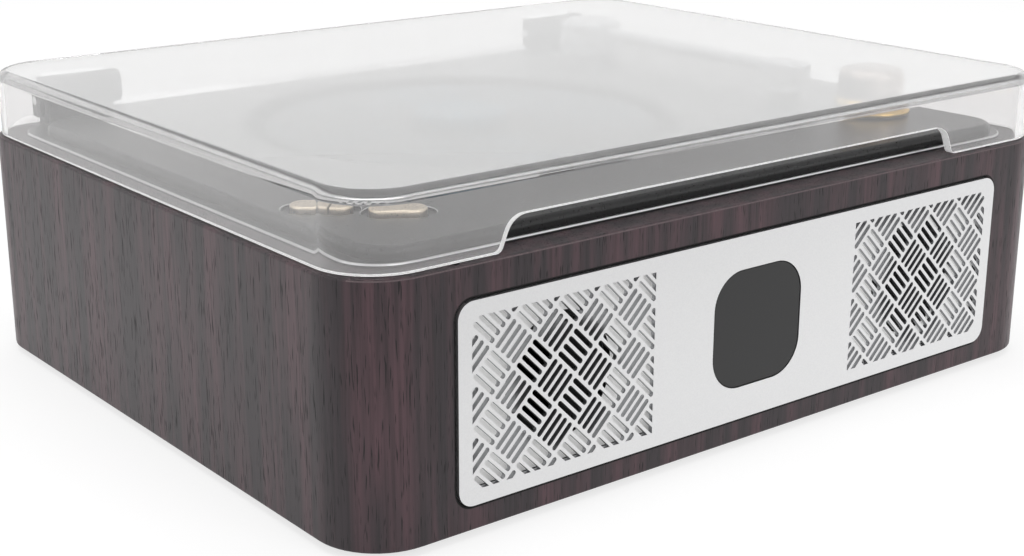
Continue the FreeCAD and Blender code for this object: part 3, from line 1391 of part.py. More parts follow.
def make_cover():
    """Makes the clear dust cover: a box with a finger notch, hinge slots and a relieved rear edge."""
    width, depth = s.cabinet_width - 2 * s.cover_inset, s.cabinet_depth - 2 * s.cover_inset
    corner = s.cabinet_corner - s.cover_inset
    height = cover_top - cover_bottom
    outer = slab("CoverOuter", width, depth, height, corner, (0, 0, cover_bottom))
    soften(outer, is_top, s.cover_round)
    inner = slab("CoverInner", width - 2 * s.cover_wall, depth - 2 * s.cover_wall,
                 height - s.cover_wall + OVERSHOOT,
                 corner - s.cover_wall, (0, 0, cover_bottom - OVERSHOOT))
    shell = cut("CoverShell", outer, inner)
    tools = [notch_tool()]
    slot_top = hinge_z + s.knuckle_radius + 0.9
    slot_width = s.hinge_width + 2
    for x in (-hinge_x, hinge_x):
        tools.append(box("HingeSlot", slot_width, s.cover_wall + 2 * OVERSHOOT,
                         slot_top - cover_bottom + OVERSHOOT,
                         (x, cover_rear - s.cover_wall / 2, cover_bottom - OVERSHOOT)))
    relief = outline("RearRelief", [
        (-OVERSHOOT, -OVERSHOOT), (s.cover_chamfer + OVERSHOOT, -OVERSHOOT),
        (s.cover_chamfer + OVERSHOOT, s.cover_chamfer + OVERSHOOT),
    ], width, (-width / 2, cover_rear - s.cover_chamfer, cover_bottom), ACROSS)
    tools.append(relief)
    node("dust_cover", cut("DustCover", shell, *tools))


def make_hinge(side, x):
    """Makes one hinge: the block pegged into the rear wall, and the cheeks on the cover that hold its pin."""
    name = side.capitalize()
    pedestal = box(name + "Pedestal", s.hinge_width, s.hinge_depth, hinge_z - wood_top,
                   (x, rear - s.hinge_front + s.hinge_depth / 2, wood_top))
    left = x - s.hinge_width / 2
    knuckle = cylinder(name + "Knuckle", s.knuckle_radius, s.hinge_width, (left, hinge_y, hinge_z), SIDEWAYS)
    bore = cylinder(name + "Bore", s.pin_radius + s.running_fit, s.hinge_width + 2 * OVERSHOOT,
                    (left - OVERSHOOT, hinge_y, hinge_z), SIDEWAYS)
    pegs = [
        cylinder(name + "Peg", s.peg_radius, s.peg_length + BITE, (px, py, wood_top - s.peg_length))
        for px, py in peg_points(x)
    ]
    node(f"{side}_hinge_block", cut(name + "HingeBlock", fuse(name + "BlockBlank", pedestal, knuckle, *pegs),
                                    bore))
    wall = cover_rear - s.cover_wall
    cheek_low = wood_top + s.cheek_rise
    reach = s.hinge_width / 2 + s.cheek_gap + s.cheek_thickness / 2
    cheeks = []
    for sign in (-1, 1):
        plate = box(name + "Cheek", s.cheek_thickness, s.cheek_reach, hinge_z + s.knuckle_radius - cheek_low,
                    (x + sign * reach, wall - s.cheek_reach / 2, cheek_low))
        hole = cylinder(name + "PinHole", s.pin_radius, 2 * s.cheek_thickness,
                        (x + sign * reach - s.cheek_thickness, hinge_y, hinge_z), SIDEWAYS)
        cheeks.append(cut(name + "CheekPlate", plate, hole))
    node(f"{side}_hinge_bracket", compound(name + "HingeBracket", cheeks))
    return cylinder(name + "Pin", s.pin_radius, 2 * reach + s.cheek_thickness,
                    (x - reach - s.cheek_thickness / 2, hinge_y, hinge_z), SIDEWAYS)


def make_hinges():
    """Makes both hinges, their pins and the bumpers that the closed cover comes down on."""
    pins = [make_hinge("left", -hinge_x), make_hinge("right", hinge_x)]
    node("hinge_pins", compound("HingePins", pins))
    y = front + s.cover_inset + s.cover_wall / 2
    bumpers = [
        cylinder("Bumper", s.bumper_radius, s.cover_gap - 0.05, (x, y, wood_top))
        for x in (s.bumper_side - half_width, half_width - s.bumper_side)
    ]
    node("cover_bumpers", compound("CoverBumpers", bumpers))


def make_rear():
    """Makes the rear panel with its power inlet and audio socket."""
    plate = slab("RearSheet", s.rear_width, s.rear_height, s.rear_thickness, s.panel_corner,
                 (0, rear_back, panel_level), BACKWARD)
    holes = []
    through = s.rear_thickness + 2 * OVERSHOOT
    for x, radius in ((s.inlet_x, s.inlet_radius), (s.socket_x, s.socket_radius)):
        holes.append(cylinder("RearHole", radius + 1, through, (x, rear_back - OVERSHOOT, panel_level),
                              BACKWARD))
    for x, z in rear_screw_points():
        holes.append(cylinder("RearScrewHole", s.small_screw_radius + s.screw_ease, through,
                              (x, rear_back - OVERSHOOT, z), BACKWARD))
        holes.append(cylinder("RearScrewSink", s.small_head_radius + 0.1, s.small_head_height + OVERSHOOT,
                              (x, rear_seat, z), BACKWARD))
        small_screw_places.append(spot(x, rear_seat, z, FORWARD))
    node("rear_panel", cut("RearPanel", plate, *holes))
    for label, name, x, radius, size in (
        ("power_inlet", "PowerInlet", s.inlet_x, s.inlet_radius, 12.0),
        ("audio_socket", "AudioSocket", s.socket_x, s.socket_radius, 9.0),
    ):
        block = box(name + "Block", size, size, size, (x, rear_back - size / 2, panel_level - size / 2))
        collar = cylinder(name + "Collar", radius + 0.9, s.rear_thickness, (x, rear_back, panel_level),
                          BACKWARD)
        bore = cylinder(name + "Bore", radius, size, (x, rear_face - size, panel_level), BACKWARD)
        blank = cut(name + "Shell", fuse(name + "Blank", block, collar), bore)
        if label == "power_inlet":
            blank = fuse(name, blank, cylinder(name + "Pin", radius / 3, size - 2,
                                               (x, rear_face - size - 0.2, panel_level), BACKWARD))
        node(label, blank)


def main_board_points():
    """Returns the plan points of the main board's standoffs."""
    across, along = s.main_width / 2 - s.standoff_inset, s.main_depth / 2 - s.standoff_inset
    return [(x, main_y + y) for x, y in mirrored_pairs(across, along)]


def make_main_board():
    """Makes the main board on the base's standoffs, with its larger components."""
    level = base_top + s.standoff_height
    board = box("MainSheet", s.main_width, s.main_depth, s.board_thickness, (0, main_y, level))
    holes = []
    for x, y in main_board_points():
        holes.append(cylinder("MainHole", s.small_screw_radius + s.screw_ease,
                              s.board_thickness + 2 * OVERSHOOT, (x, y, level - OVERSHOOT)))
        small_screw_places.append(spot(x, y, level + s.board_thickness, UPSIDE_DOWN))
    node("main_board", cut("MainBoard", board, *holes))
    top = level + s.board_thickness
    column, row = s.main_width / 4, s.main_depth / 4
    chip, sink = s.chip_size, s.sink_length
    spread = 1.4 * s.capacitor_radius
    parts = [
        cylinder("Capacitor", s.capacitor_radius, s.capacitor_height,
                 (-column + sign * spread, main_y + row, top))
        for sign in (-1, 1)
    ]
    parts += [
        box("Chip", chip, chip, s.chip_height, (0, main_y, top)),
        box("Amplifier", 0.7 * chip, 0.7 * chip, s.chip_height, (column, main_y - row, top)),
        box("HeatSink", sink, 0.7 * sink, s.sink_height, (column, main_y + row, top)),
        box("Connector", s.plug_length, s.plug_height, s.plug_height, (-column, main_y - row, top)),
    ]
    node("board_components", compound("BoardComponents", parts))


def export_parts():
    """Checks every sub-part and writes it to its own file."""
    doc.recompute()
    os.makedirs("parts", exist_ok=True)
    for item in doc.Objects:
        if "Invalid" in item.State or "Error" in item.State:
            raise RuntimeError(f"{item.Label} did not compute")
    for item in nodes:
        shape = item.Shape
        if not shape.isValid() or not shape.Solids:
            raise RuntimeError(f"{item.Label} is not a valid solid")
        shape.exportStep(f"parts/{item.Label}.step")
        print(f"{item.Label}: {len(shape.Solids)} solid(s), {shape.Volume / 1000:.2f} cm3")


make_cabinet()
make_front()
make_baffle()
make_display()
make_speaker("left", -speaker_x)
make_speaker("right", speaker_x)
make_deck()
make_chassis()
make_spindle()
make_pickup()
make_keys()
make_volume()
make_arm()
make_cover()
make_hinges()
make_rear()
make_main_board()
node("wood_screws", copies("WoodScrews", wood_screw, wood_screw_places))
node("small_screws", copies("SmallScrews", small_screw, small_screw_places))
export_parts()
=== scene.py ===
"""Dresses a desktop CD player: veneered cabinet, slotted front, black deck, drive, arm and dust cover."""
import json
import logging
import math
from dataclasses import dataclass
from enum import Enum
from typing import Any, Callable, Optional, Sequence

import bmesh
import bpy
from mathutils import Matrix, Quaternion, Vector

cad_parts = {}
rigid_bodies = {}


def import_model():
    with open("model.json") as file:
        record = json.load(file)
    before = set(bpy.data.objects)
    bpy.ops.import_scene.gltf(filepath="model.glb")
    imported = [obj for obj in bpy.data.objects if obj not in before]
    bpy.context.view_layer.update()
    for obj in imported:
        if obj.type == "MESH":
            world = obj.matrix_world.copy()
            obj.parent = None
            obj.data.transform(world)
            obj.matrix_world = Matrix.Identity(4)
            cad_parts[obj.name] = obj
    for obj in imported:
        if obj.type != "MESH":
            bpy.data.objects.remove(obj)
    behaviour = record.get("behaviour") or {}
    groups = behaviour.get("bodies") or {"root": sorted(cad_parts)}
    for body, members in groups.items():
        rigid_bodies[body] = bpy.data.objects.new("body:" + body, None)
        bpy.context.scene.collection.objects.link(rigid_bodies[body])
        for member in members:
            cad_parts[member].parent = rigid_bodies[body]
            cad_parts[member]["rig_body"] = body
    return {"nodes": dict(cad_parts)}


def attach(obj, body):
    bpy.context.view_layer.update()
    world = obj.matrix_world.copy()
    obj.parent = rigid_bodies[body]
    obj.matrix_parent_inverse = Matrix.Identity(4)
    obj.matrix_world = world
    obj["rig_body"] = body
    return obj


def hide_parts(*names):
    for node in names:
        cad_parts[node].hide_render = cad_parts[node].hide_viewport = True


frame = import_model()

LOG = logging.getLogger("cd_player")
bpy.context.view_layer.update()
MM = 0.001
# How far, in millimetres, a point may lie off a plane and still count as on it, and the same at rounded edges
NEAR, LOOSE = 0.05, 0.1
# Most values of a noise texture lie between these
NOISE_LOW, NOISE_HIGH = 0.25, 0.75
# The inputs and the result of a colour mix, and the inputs of a number mix, as Blender numbers them
FACTOR, FIRST, SECOND, MIXED = 0, 6, 7, 2
FIRST_NUMBER, SECOND_NUMBER = 2, 3

Colour = tuple[float, float, float, float]
Point = tuple[float, float, float]
Pair = tuple[float, float]
Tree = bpy.types.NodeTree
Node = bpy.types.Node
Socket = bpy.types.NodeSocket
EdgePick = Callable[[bmesh.types.BMEdge], bool]
FacePick = Callable[[Vector, Vector], bool]

PURE_WHITE: Colour = (1.0, 1.0, 1.0, 1.0)


class Body(Enum):
    """The rigid bodies that a piece can ride on."""

    CABINET = "cabinet"
    COVER = "cover"
    PLATTER = "platter"
    SLED = "sled"
    SCREW = "drive_screw"
    PREVIOUS = "previous_key"
    NEXT = "next_key"
    PLAY = "play_key"
    VOLUME = "volume"
    ARM = "arm"


class Slot(Enum):
    """The record's material slots."""

    VENEER = "wood_veneer"
    HARDWOOD = "hardwood"
    PANEL = "aluminium_panel"
    WINDOW = "smoked_window"
    WHITE = "white_moulding"
    PAPER = "cone_paper"
    RUBBER = "black_rubber"
    STEEL = "plated_steel"
    FERRITE = "ferrite"
    DECK = "black_deck"
    BLACK = "black_moulding"
    BOARD = "base_board"
    DISC = "disc_mirror"
    LENS = "lens_clear"
    ROD = "steel_rod"
    CHAMPAGNE = "champagne_brass"
    BRASS = "polished_brass"
    SATIN = "satin_aluminium"
    ACRYLIC = "clear_acrylic"
    CIRCUIT = "circuit_board"
    COMPONENT = "component_black"


def linear(code: str) -> Colour:
    """Turns an sRGB hex colour to linear.

    Args:
        code: The colour as six hex digits after a hash sign.

    Returns:
        Its linear red, green and blue, with full alpha.
    """
    values = [int(code[i:i + 2], 16) / 255 for i in (1, 3, 5)]
    red, green, blue = (v / 12.92 if v <= 0.04045 else ((v + 0.055) / 1.055) ** 2.4 for v in values)
    return red, green, blue, 1.0


def cycles(size: float) -> float:
    """Gives the texture scale at which one feature is as wide as size, in millimetres."""
    return 1.0 / (size * MM)


def wire(tree: Tree, node: Node, inputs: dict[Any, Any]) -> None:
    """Sets a node's inputs, or links them where the value is another node's socket.

    Args:
        tree: The tree that the node is in.
        node: The node.
        inputs: Values or sockets by the input's name or number.
    """
    for key, value in inputs.items():
        if isinstance(value, Socket):
            tree.links.new(value, node.inputs[key])
        else:
            node.inputs[key].default_value = value


def add_node(tree: Tree, kind: str, inputs: dict[Any, Any], **settings: Any) -> Node:
    """Adds a node with its settings and links.

    Args:
        tree: The tree that takes it.
        kind: Blender's name for the node, less its first part.
        inputs: Values or sockets by the input's name or number.
        **settings: The node's own properties.

    Returns:
        The new node.
    """
    node = tree.nodes.new(f"ShaderNode{kind}")
    for name, value in settings.items():
        setattr(node, name, value)
    wire(tree, node, inputs)
    return node


def from_axis(tree: Tree, place: Socket, centre: Pair) -> tuple[Socket, Socket]:
    """Measures places from an upright axis.

    Args:
        tree: The tree that takes the nodes.
        place: The object coordinates.
        centre: Where the axis stands, in millimetres.

    Returns:
        The coordinates from the axis, and the distance from it.
    """
    x, y = centre
    centred = add_node(tree, "Mapping", {"Vector": place, "Location": (-x * MM, -y * MM, 0.0)})
    flat = add_node(tree, "VectorMath", {
        0: centred.outputs[0], 1: (1.0, 1.0, 0.0)}, operation="MULTIPLY")
    radius = add_node(tree, "VectorMath", {0: flat.outputs[0]}, operation="LENGTH")
    return centred.outputs[0], radius.outputs["Value"]


def looked_at(tree: Tree) -> tuple[Socket, Socket]:
    """Tells a look at a surface from the light that it gives to others.

    Args:
        tree: The tree that takes the nodes.

    Returns:
        What is 1 for a look, straight, mirrored or through something clear, and what is 1 for a mirrored one.
    """
    path = add_node(tree, "LightPath", {})
    seen = add_node(tree, "Math", {
        0: path.outputs["Is Camera Ray"], 1: path.outputs["Is Glossy Ray"]}, operation="MAXIMUM")
    shown = add_node(tree, "Math", {
        0: seen.outputs[0], 1: path.outputs["Is Transmission Ray"]}, operation="MAXIMUM")
    return shown.outputs[0], path.outputs["Is Glossy Ray"]


def whole(test: Callable[[Vector], bool]) -> EdgePick:
    """Picks the edges that have both their ends where a test holds."""
    return lambda edge: all(test(v.co) for v in edge.verts)


@dataclass(frozen=True)
class Finish:
    """A surface finish: what it is called, its record slot, and its plain colour and roughness."""

    name: str
    slot: Slot
    colour: str
    roughness: float

    def material(self) -> bpy.types.Material:
        """Gives the finish's material, made at its first use.

        Returns:
            The material.
        """
        found = bpy.data.materials.get(self.name)
        if found:
            return found
        material = bpy.data.materials.new(self.name)
        material.use_nodes = True
        tree = material.node_tree
        shader = tree.nodes["Principled BSDF"]
        wire(tree, shader, {"Base Color": linear(self.colour), "Roughness": self.roughness})
        place = add_node(tree, "TexCoord", {}).outputs["Object"]
        self.detail(tree, shader, place)
        return material

    def detail(self, tree: Tree, shader: Node, place: Socket) -> None:
        """Adds what the surface shows beyond its plain colour.

        Args:
            tree: The material's nodes.
            shader: Its Principled shader.
            place: The object coordinates.
        """


@dataclass(frozen=True)
class Patterned(Finish):
    """A finish with one fine pattern in its colour, its roughness and its height."""

    shade: str = "#000000"
    spread: float = 0.08
    depth: float = 0.01
    metallic: float = 0.0

    def vary(self, tree: Tree, shader: Node, pattern: Socket) -> None:
        """Lets a pattern change the colour, the roughness and the height.

        Args:
            tree: The material's nodes.
            shader: Its Principled shader.
            pattern: The pattern's value, from 0 to 1.
        """
        tone = add_node(tree, "Mix", {
            FACTOR: pattern, FIRST: linear(self.colour), SECOND: linear(self.shade)}, data_type="RGBA")
        rough = add_node(tree, "MapRange", {
            "Value": pattern, "From Min": NOISE_LOW, "From Max": NOISE_HIGH,
            "To Min": self.roughness - self.spread, "To Max": self.roughness + self.spread})
        bump = add_node(tree, "Bump", {
            "Height": pattern, "Distance": self.depth * MM, "Strength": 1.0})
        wire(tree, shader, {"Metallic": self.metallic, "Base Color": tone.outputs[MIXED],
                            "Roughness": rough.outputs[0], "Normal": bump.outputs[0]})


@dataclass(frozen=True)
class Grained(Patterned):
    """A finish with an even grain: moulded, blasted, brushed, pressed or sawn."""

    grain: float = 0.5
    stretch: Point = (1.0, 1.0, 1.0)
    ior: float = 1.5
    glow: float = 0.0

    def detail(self, tree: Tree, shader: Node, place: Socket) -> None:
        """Adds the grain to the colour, the roughness and the surface.

        Args:
            tree: The material's nodes.
            shader: Its Principled shader.
            place: The object coordinates.
        """
        wire(tree, shader, {"IOR": self.ior, "Emission Color": PURE_WHITE, "Emission Strength": self.glow})
        along = add_node(tree, "Mapping", {"Vector": place, "Scale": self.stretch})
        grain = add_node(tree, "TexNoise", {
            "Vector": along.outputs[0], "Scale": cycles(self.grain), "Detail": 3.0, "Roughness": 0.6})
        self.vary(tree, shader, grain.outputs[0])


@dataclass(frozen=True)
class Turned(Patterned):
    """A turned metal face, with the rings that the lathe tool leaves round an upright axis."""

    metallic: float = 1.0
    centre: Pair = (0.0, 0.0)
    pitch: float = 0.5

    def detail(self, tree: Tree, shader: Node, place: Socket) -> None:
        """Adds the tool's rings round the axis.

        Args:
            tree: The material's nodes.
            shader: Its Principled shader.
            place: The object coordinates.
        """
        centred, radius = from_axis(tree, place, self.centre)
        height = add_node(tree, "SeparateXYZ", {0: centred})
        along = add_node(tree, "Math", {0: radius, 1: height.outputs["Z"]}, operation="SUBTRACT")
        rings = add_node(tree, "TexNoise", {
            "W": along.outputs[0], "Scale": cycles(self.pitch), "Detail": 2.0}, noise_dimensions="1D")
        self.vary(tree, shader, rings.outputs[0])


@dataclass(frozen=True)
class WoodLayer:
    """Upright marks in wood: their width and length, how fine and crisp, where they start, how strong."""

    width: float
    length: float
    fineness: float
    crispness: float
    span: Pair
    strength: float
    colour: str


@dataclass(frozen=True)
class Veneer(Finish):
    """Stained veneer with upright grain: soft colour bands, fine streaks and, last, short open pores."""

    layers: tuple[WoodLayer, ...] = (
        WoodLayer(5.5, 75.0, 2.0, 0.5, (0.4, 0.66), 1.0, "#50393f"),
        WoodLayer(1.0, 40.0, 4.0, 0.6, (0.42, 0.72), 0.6, "#120e10"),
        WoodLayer(0.42, 6.0, 1.0, 0.5, (0.6, 0.7), 0.9, "#120e10"),
    )
    pore_dulling: float = 0.25
    pore_depth: float = 0.04

    def detail(self, tree: Tree, shader: Node, place: Socket) -> None:
        """Adds the layers, and the dull hollows that the pores leave.

        Args:
            tree: The material's nodes.
            shader: Its Principled shader.
            place: The object coordinates.
        """
        tone = linear(self.colour)
        for layer in self.layers:
            along = add_node(tree, "Mapping", {
                "Vector": place, "Scale": (1.0, 1.0, layer.width / layer.length)})
            noise = add_node(tree, "TexNoise", {
                "Vector": along.outputs[0], "Scale": cycles(layer.width), "Detail": layer.fineness,
                "Roughness": layer.crispness})
            marks = add_node(tree, "MapRange", {
                "Value": noise.outputs[0], "From Min": layer.span[0], "From Max": layer.span[1]})
            amount = add_node(tree, "MapRange", {
                "Value": marks.outputs[0], "To Max": layer.strength})
            tone = add_node(tree, "Mix", {
                FACTOR: amount.outputs[0], FIRST: tone, SECOND: linear(layer.colour)},
                data_type="RGBA").outputs[MIXED]
        rough = add_node(tree, "MapRange", {
            "Value": marks.outputs[0], "To Min": self.roughness,
            "To Max": self.roughness + self.pore_dulling})
        bump = add_node(tree, "Bump", {
            "Height": marks.outputs[0], "Distance": self.pore_depth * MM, "Strength": 0.6}, invert=True)
        wire(tree, shader, {"Base Color": tone, "Roughness": rough.outputs[0], "Normal": bump.outputs[0]})


@dataclass(frozen=True)
class Clear(Finish):
    """A see-through plastic or glass with a little haze in it."""

    transmission: float = 0.7
    ior: float = 1.49
    haze: float = 0.004
    flow: float = 35.0
    glow: float = 0.0

    def detail(self, tree: Tree, shader: Node, place: Socket) -> None:
        """Adds the transmission and the slow change of haze that moulding leaves.

        Args:
            tree: The material's nodes.
            shader: Its Principled shader.
            place: The object coordinates.
        """
        wire(tree, shader, {"Transmission Weight": self.transmission, "IOR": self.ior,
                            "Emission Color": PURE_WHITE, "Emission Strength": self.glow})
        flow = add_node(tree, "TexNoise", {
            "Vector": place, "Scale": cycles(self.flow), "Detail": 2.0})
        rough = add_node(tree, "MapRange", {
            "Value": flow.outputs[0], "From Min": 0.3, "From Max": 0.7,
            "To Min": self.roughness, "To Max": self.roughness + self.haze})
        wire(tree, shader, {"Roughness": rough.outputs[0]})


@dataclass(frozen=True)
class DiscFace(Finish):
    """A dark-coated disc: painted reflections, coloured glints by angle, over the data band, plain round the
    hub and at the rim.
    """

    centre: Pair = (0.0, 0.0)
    glint_colour: str = "#24485a"
    warm: str = "#1a191f"
    data_start: float = 23.0
    data_end: float = 58.6
    wedges: float = 5.0
    sheen: float = 0.08
    tracks: float = 0.9
    track_spread: float = 0.05
    specular: float = 0.2

    def detail(self, tree: Tree, shader: Node, place: Socket) -> None:
        """Adds the bands by radius and the painted glints by angle.

        Args:
            tree: The material's nodes.
            shader: Its Principled shader.
            place: The object coordinates.
        """
        centred, radius = from_axis(tree, place, self.centre)
        angle = add_node(tree, "TexGradient", {"Vector": centred}, gradient_type="RADIAL")
        # Painted reflection: coloured glints by angle round the spindle
        wedge = add_node(tree, "TexNoise", {
            "W": angle.outputs["Fac"], "Scale": self.wedges, "Detail": 1.0}, noise_dimensions="1D")
        mixed = add_node(tree, "MapRange", {
            "Value": wedge.outputs[0], "From Min": 0.35, "From Max": 0.65})
        glint_mix = add_node(tree, "Mix", {
            FACTOR: mixed.outputs[0], FIRST: linear(self.glint_colour), SECOND: linear(self.warm)}, data_type="RGBA")
        inside = add_node(tree, "Math", {
            0: radius, 1: self.data_start * MM}, operation="GREATER_THAN")
        within = add_node(tree, "Math", {0: radius, 1: self.data_end * MM}, operation="LESS_THAN")
        data = add_node(tree, "Math", {
            0: inside.outputs[0], 1: within.outputs[0]}, operation="MULTIPLY")
        colour = add_node(tree, "Mix", {
            FACTOR: data.outputs[0], FIRST: linear(self.colour), SECOND: glint_mix.outputs[MIXED]},
            data_type="RGBA")
        metal = add_node(tree, "MapRange", {"Value": data.outputs[0], "To Max": self.sheen})
        tracks = add_node(tree, "TexNoise", {
            "W": radius, "Scale": cycles(self.tracks), "Detail": 2.0}, noise_dimensions="1D")
        rough = add_node(tree, "MapRange", {
            "Value": tracks.outputs[0], "To Min": self.roughness - self.track_spread,
            "To Max": self.roughness + self.track_spread})
        wire(tree, shader, {"Specular IOR Level": self.specular, "Base Color": colour.outputs[MIXED],
                            "Metallic": metal.outputs[0], "Roughness": rough.outputs[0]})


# Where the axes of the spindle and the knob stand, in millimetres
SPINDLE: Pair = (-17.0, 5.0)
KNOB: Pair = (96.0, -61.4)

# Dark-stained open-pored veneer under a satin lacquer: upright bands of warm and grey brown, black pores
VENEER = Veneer("stained_veneer_satin_lacquer", Slot.VENEER, "#31292d", 0.38)
# A rough pale line on the middle of the veneer's rounded top edge at the front: a painted highlight
VENEER_EDGE_HIGHLIGHT = Grained("veneer_edge_painted_highlight", Slot.VENEER, "#2b2426", 0.6, "#77676a",
                      grain=0.6, spread=0.1, depth=0.05)
# Matt near black in the rebate and on its rounded mouth, save the faces that look down: painted shade, the
# shadow line round the panel
REBATE_SHADE = Grained("rebate_painted_shade", Slot.VENEER, "#0d0d0d", 0.8, "#151515")
# Planed hardwood, unstained: pale streaks along the batten
HARDWOOD = Grained("planed_hardwood", Slot.HARDWOOD, "#b48a5c", 0.6, "#8e6740",
                   grain=1.2, stretch=(1.0, 0.04, 1.0), depth=0.03)
# Anodised aluminium, fine blasted: near white and even, with a soft broad highlight
PANEL = Grained("blasted_anodised_aluminium", Slot.PANEL, "#f8f8f8", 0.42, "#eaeaeb",
                grain=0.35, spread=0.05, depth=0.003, metallic=1.0)
# The same on the walls of the punched slots, darker: painted shade inside the slots
SLOT_WALL_SHADE = Grained("slot_wall_painted_shade", Slot.PANEL, "#c6c7c9", 0.45, "#b2b3b6",
                  grain=0.3, spread=0.05, depth=0.003, metallic=1.0)
# Smoked acrylic pane, matt coated: an even dark grey with almost no reflection
WINDOW = Grained("smoked_acrylic_matt_coat", Slot.WINDOW, "#2a2a2a", 0.45, "#222223",
                 grain=0.4, spread=0.05, depth=0.004)
# White ABS, moulded with a fine spark texture: bright, lifted a little by a painted glow where it sits in the
# panel's shade
WHITE = Grained("white_abs_spark_texture_painted_glow", Slot.WHITE, "#f9f9f8", 0.55, "#f0f0ee",
                grain=0.6, depth=0.012, glow=0.16)
# The same on the walls of the holes where the drive units sit, near black: painted shade, so the holes show
# as dark rounds behind the slots
HOLE_WALL_SHADE = Grained("hole_wall_painted_shade", Slot.WHITE, "#0f0f0f", 0.7, "#171717")
# Pressed paper pulp, dyed black: fibrous and dull
PAPER = Grained("dyed_paper_pulp", Slot.PAPER, "#191919", 0.85, "#242424", grain=0.9, depth=0.05, ior=1.45)
# Moulded rubber: dark, dull, with a slight bloom
RUBBER = Grained("moulded_rubber", Slot.RUBBER, "#161616", 0.75, "#212120",
                 grain=1.4, spread=0.1, depth=0.015, ior=1.52)
# Zinc-plated steel: bluish grey, with a faint mottle from the bath
STEEL = Grained("zinc_plated_steel", Slot.STEEL, "#c3c7cb", 0.3, "#a9aeb4",
                grain=2.2, depth=0.004, metallic=1.0)
# Sintered ferrite: dark grey, matt, finely pitted
FERRITE = Grained("sintered_ferrite", Slot.FERRITE, "#2c2c2f", 0.65, "#3a3a3d", spread=0.1, depth=0.02)
# Black ABS, polished mould: deep black with soft reflections and a slight ripple
DECK = Grained("black_abs_satin", Slot.DECK, "#191919", 0.3, "#1f1f20", grain=0.8, spread=0.05, depth=0.003)
# Satin metal on the rounded rim of the flange and round the key recesses: a painted highlight, a thin bright
# line against the black
EDGE_HIGHLIGHT = Grained("edge_painted_highlight", Slot.DECK, "#e4e5e6", 0.35, "#d6d7d9",
               grain=0.4, spread=0.05, depth=0.003, metallic=1.0)
# Black ABS, matt mould: for the hinges and inner mouldings
BLACK = Grained("black_abs_matt", Slot.BLACK, "#1b1b1b", 0.45, "#242424", depth=0.012)
# Hardboard, pressed and sealed dark: fibrous brown underside
BOARD = Grained("sealed_hardboard", Slot.BOARD, "#3b2f29", 0.7, "#2d2420",
                grain=1.1, stretch=(1.0, 0.4, 1.0), depth=0.03)
# Polycarbonate disc, dark coated: near black, with teal and violet glints by angle over it, a painted
# reflection of the light that strikes it
DISC = DiscFace("dark_coated_polycarbonate_painted_glints", Slot.DISC, "#212426", 0.38, SPINDLE)
# Polished glass lens: clear with a faint tint
LENS = Clear("polished_lens_glass", Slot.LENS, "#dfe6ee", 0.02, 0.9, ior=1.52, haze=0.01, flow=3.0)
# Ground steel rod: bright, with fine lines round it
ROD = Grained("ground_steel", Slot.ROD, "#d2d2d2", 0.2, "#bcbcbd",
              grain=0.3, stretch=(1.0, 8.0, 1.0), spread=0.06, depth=0.003, metallic=1.0)
# Satin brass, pale champagne plating: soft cream metal with a golden edge
CHAMPAGNE = Grained("champagne_plated_brass", Slot.CHAMPAGNE, "#f6e9d6", 0.3, "#eedcc0",
                    grain=0.4, spread=0.06, depth=0.003, metallic=1.0)
# Turned and polished brass: warm gold with faint tool rings
BRASS = Turned("turned_polished_brass", Slot.BRASS, "#e8ca88", 0.16, "#d8b267",
               centre=KNOB, spread=0.04, depth=0.003)
# The knob's upper part, brass painted rosy silver: painted light, the paleness that bright surroundings give
# the top, against the golden skirt
KNOB_PALE_TOP = Turned("brass_top_painted_pale", Slot.BRASS, "#d3c6bf", 0.22, "#c2b3aa",
                  centre=KNOB, spread=0.04, depth=0.003)
# Aluminium clamp, dark: its blue-grey is painted light, the blue that the disc's sheen throws over it
CLAMP = Turned("aluminium_painted_blue_light", Slot.SATIN, "#3d6c80", 0.35, "#325d70",
               centre=SPINDLE, pitch=0.4, spread=0.05, depth=0.003, metallic=0.5)
# Silver-lacquered castings of the arm: pale grey with fine metal flake
ARM_SILVER = Grained("silver_lacquer", Slot.SATIN, "#f0f0f1", 0.4, "#dcdde0",
                     grain=0.3, spread=0.06, depth=0.004, metallic=0.2)
# Acrylic sheet, formed and polished: clear walls with a slight haze
ACRYLIC = Clear("formed_acrylic", Slot.ACRYLIC, "#fdfcfc", 0.0, 0.88, flow=40.0)
# The same sheet lying flat, letting less through: a milky veil over what is below, a painted reflection of
# the bright overhead
ACRYLIC_TOP_REFLECTION = Clear("acrylic_top_painted_reflection", Slot.ACRYLIC, "#ffffff", 0.0, 0.79, flow=60.0)
# Its bend: free of haze and a little grey, so it takes the dark of the deck: painted shade in the bend
ACRYLIC_BEND_SHADE = Clear("acrylic_bend_painted_shade", Slot.ACRYLIC, "#c4c4c4", 0.0, 1.0, flow=20.0)
# Its sawn and scraped edge, with a painted glow for the light that the sheet pipes to it, so it shows as a
# bright line
ACRYLIC_EDGE_GLOW = Clear("acrylic_edge_painted_glow", Slot.ACRYLIC, "#ffffff", 0.25, 0.35,
                     haze=0.1, flow=1.5, glow=0.22)
# Glass-fibre board under green solder mask: weave just shows
CIRCUIT = Grained("solder_masked_board", Slot.CIRCUIT, "#1f4a34", 0.35, "#17392a", grain=0.6, ior=1.55)
# Moulded epoxy packages: dull dark grey
COMPONENT = Grained("moulded_epoxy", Slot.COMPONENT, "#26272a", 0.55, "#303135", grain=0.4)


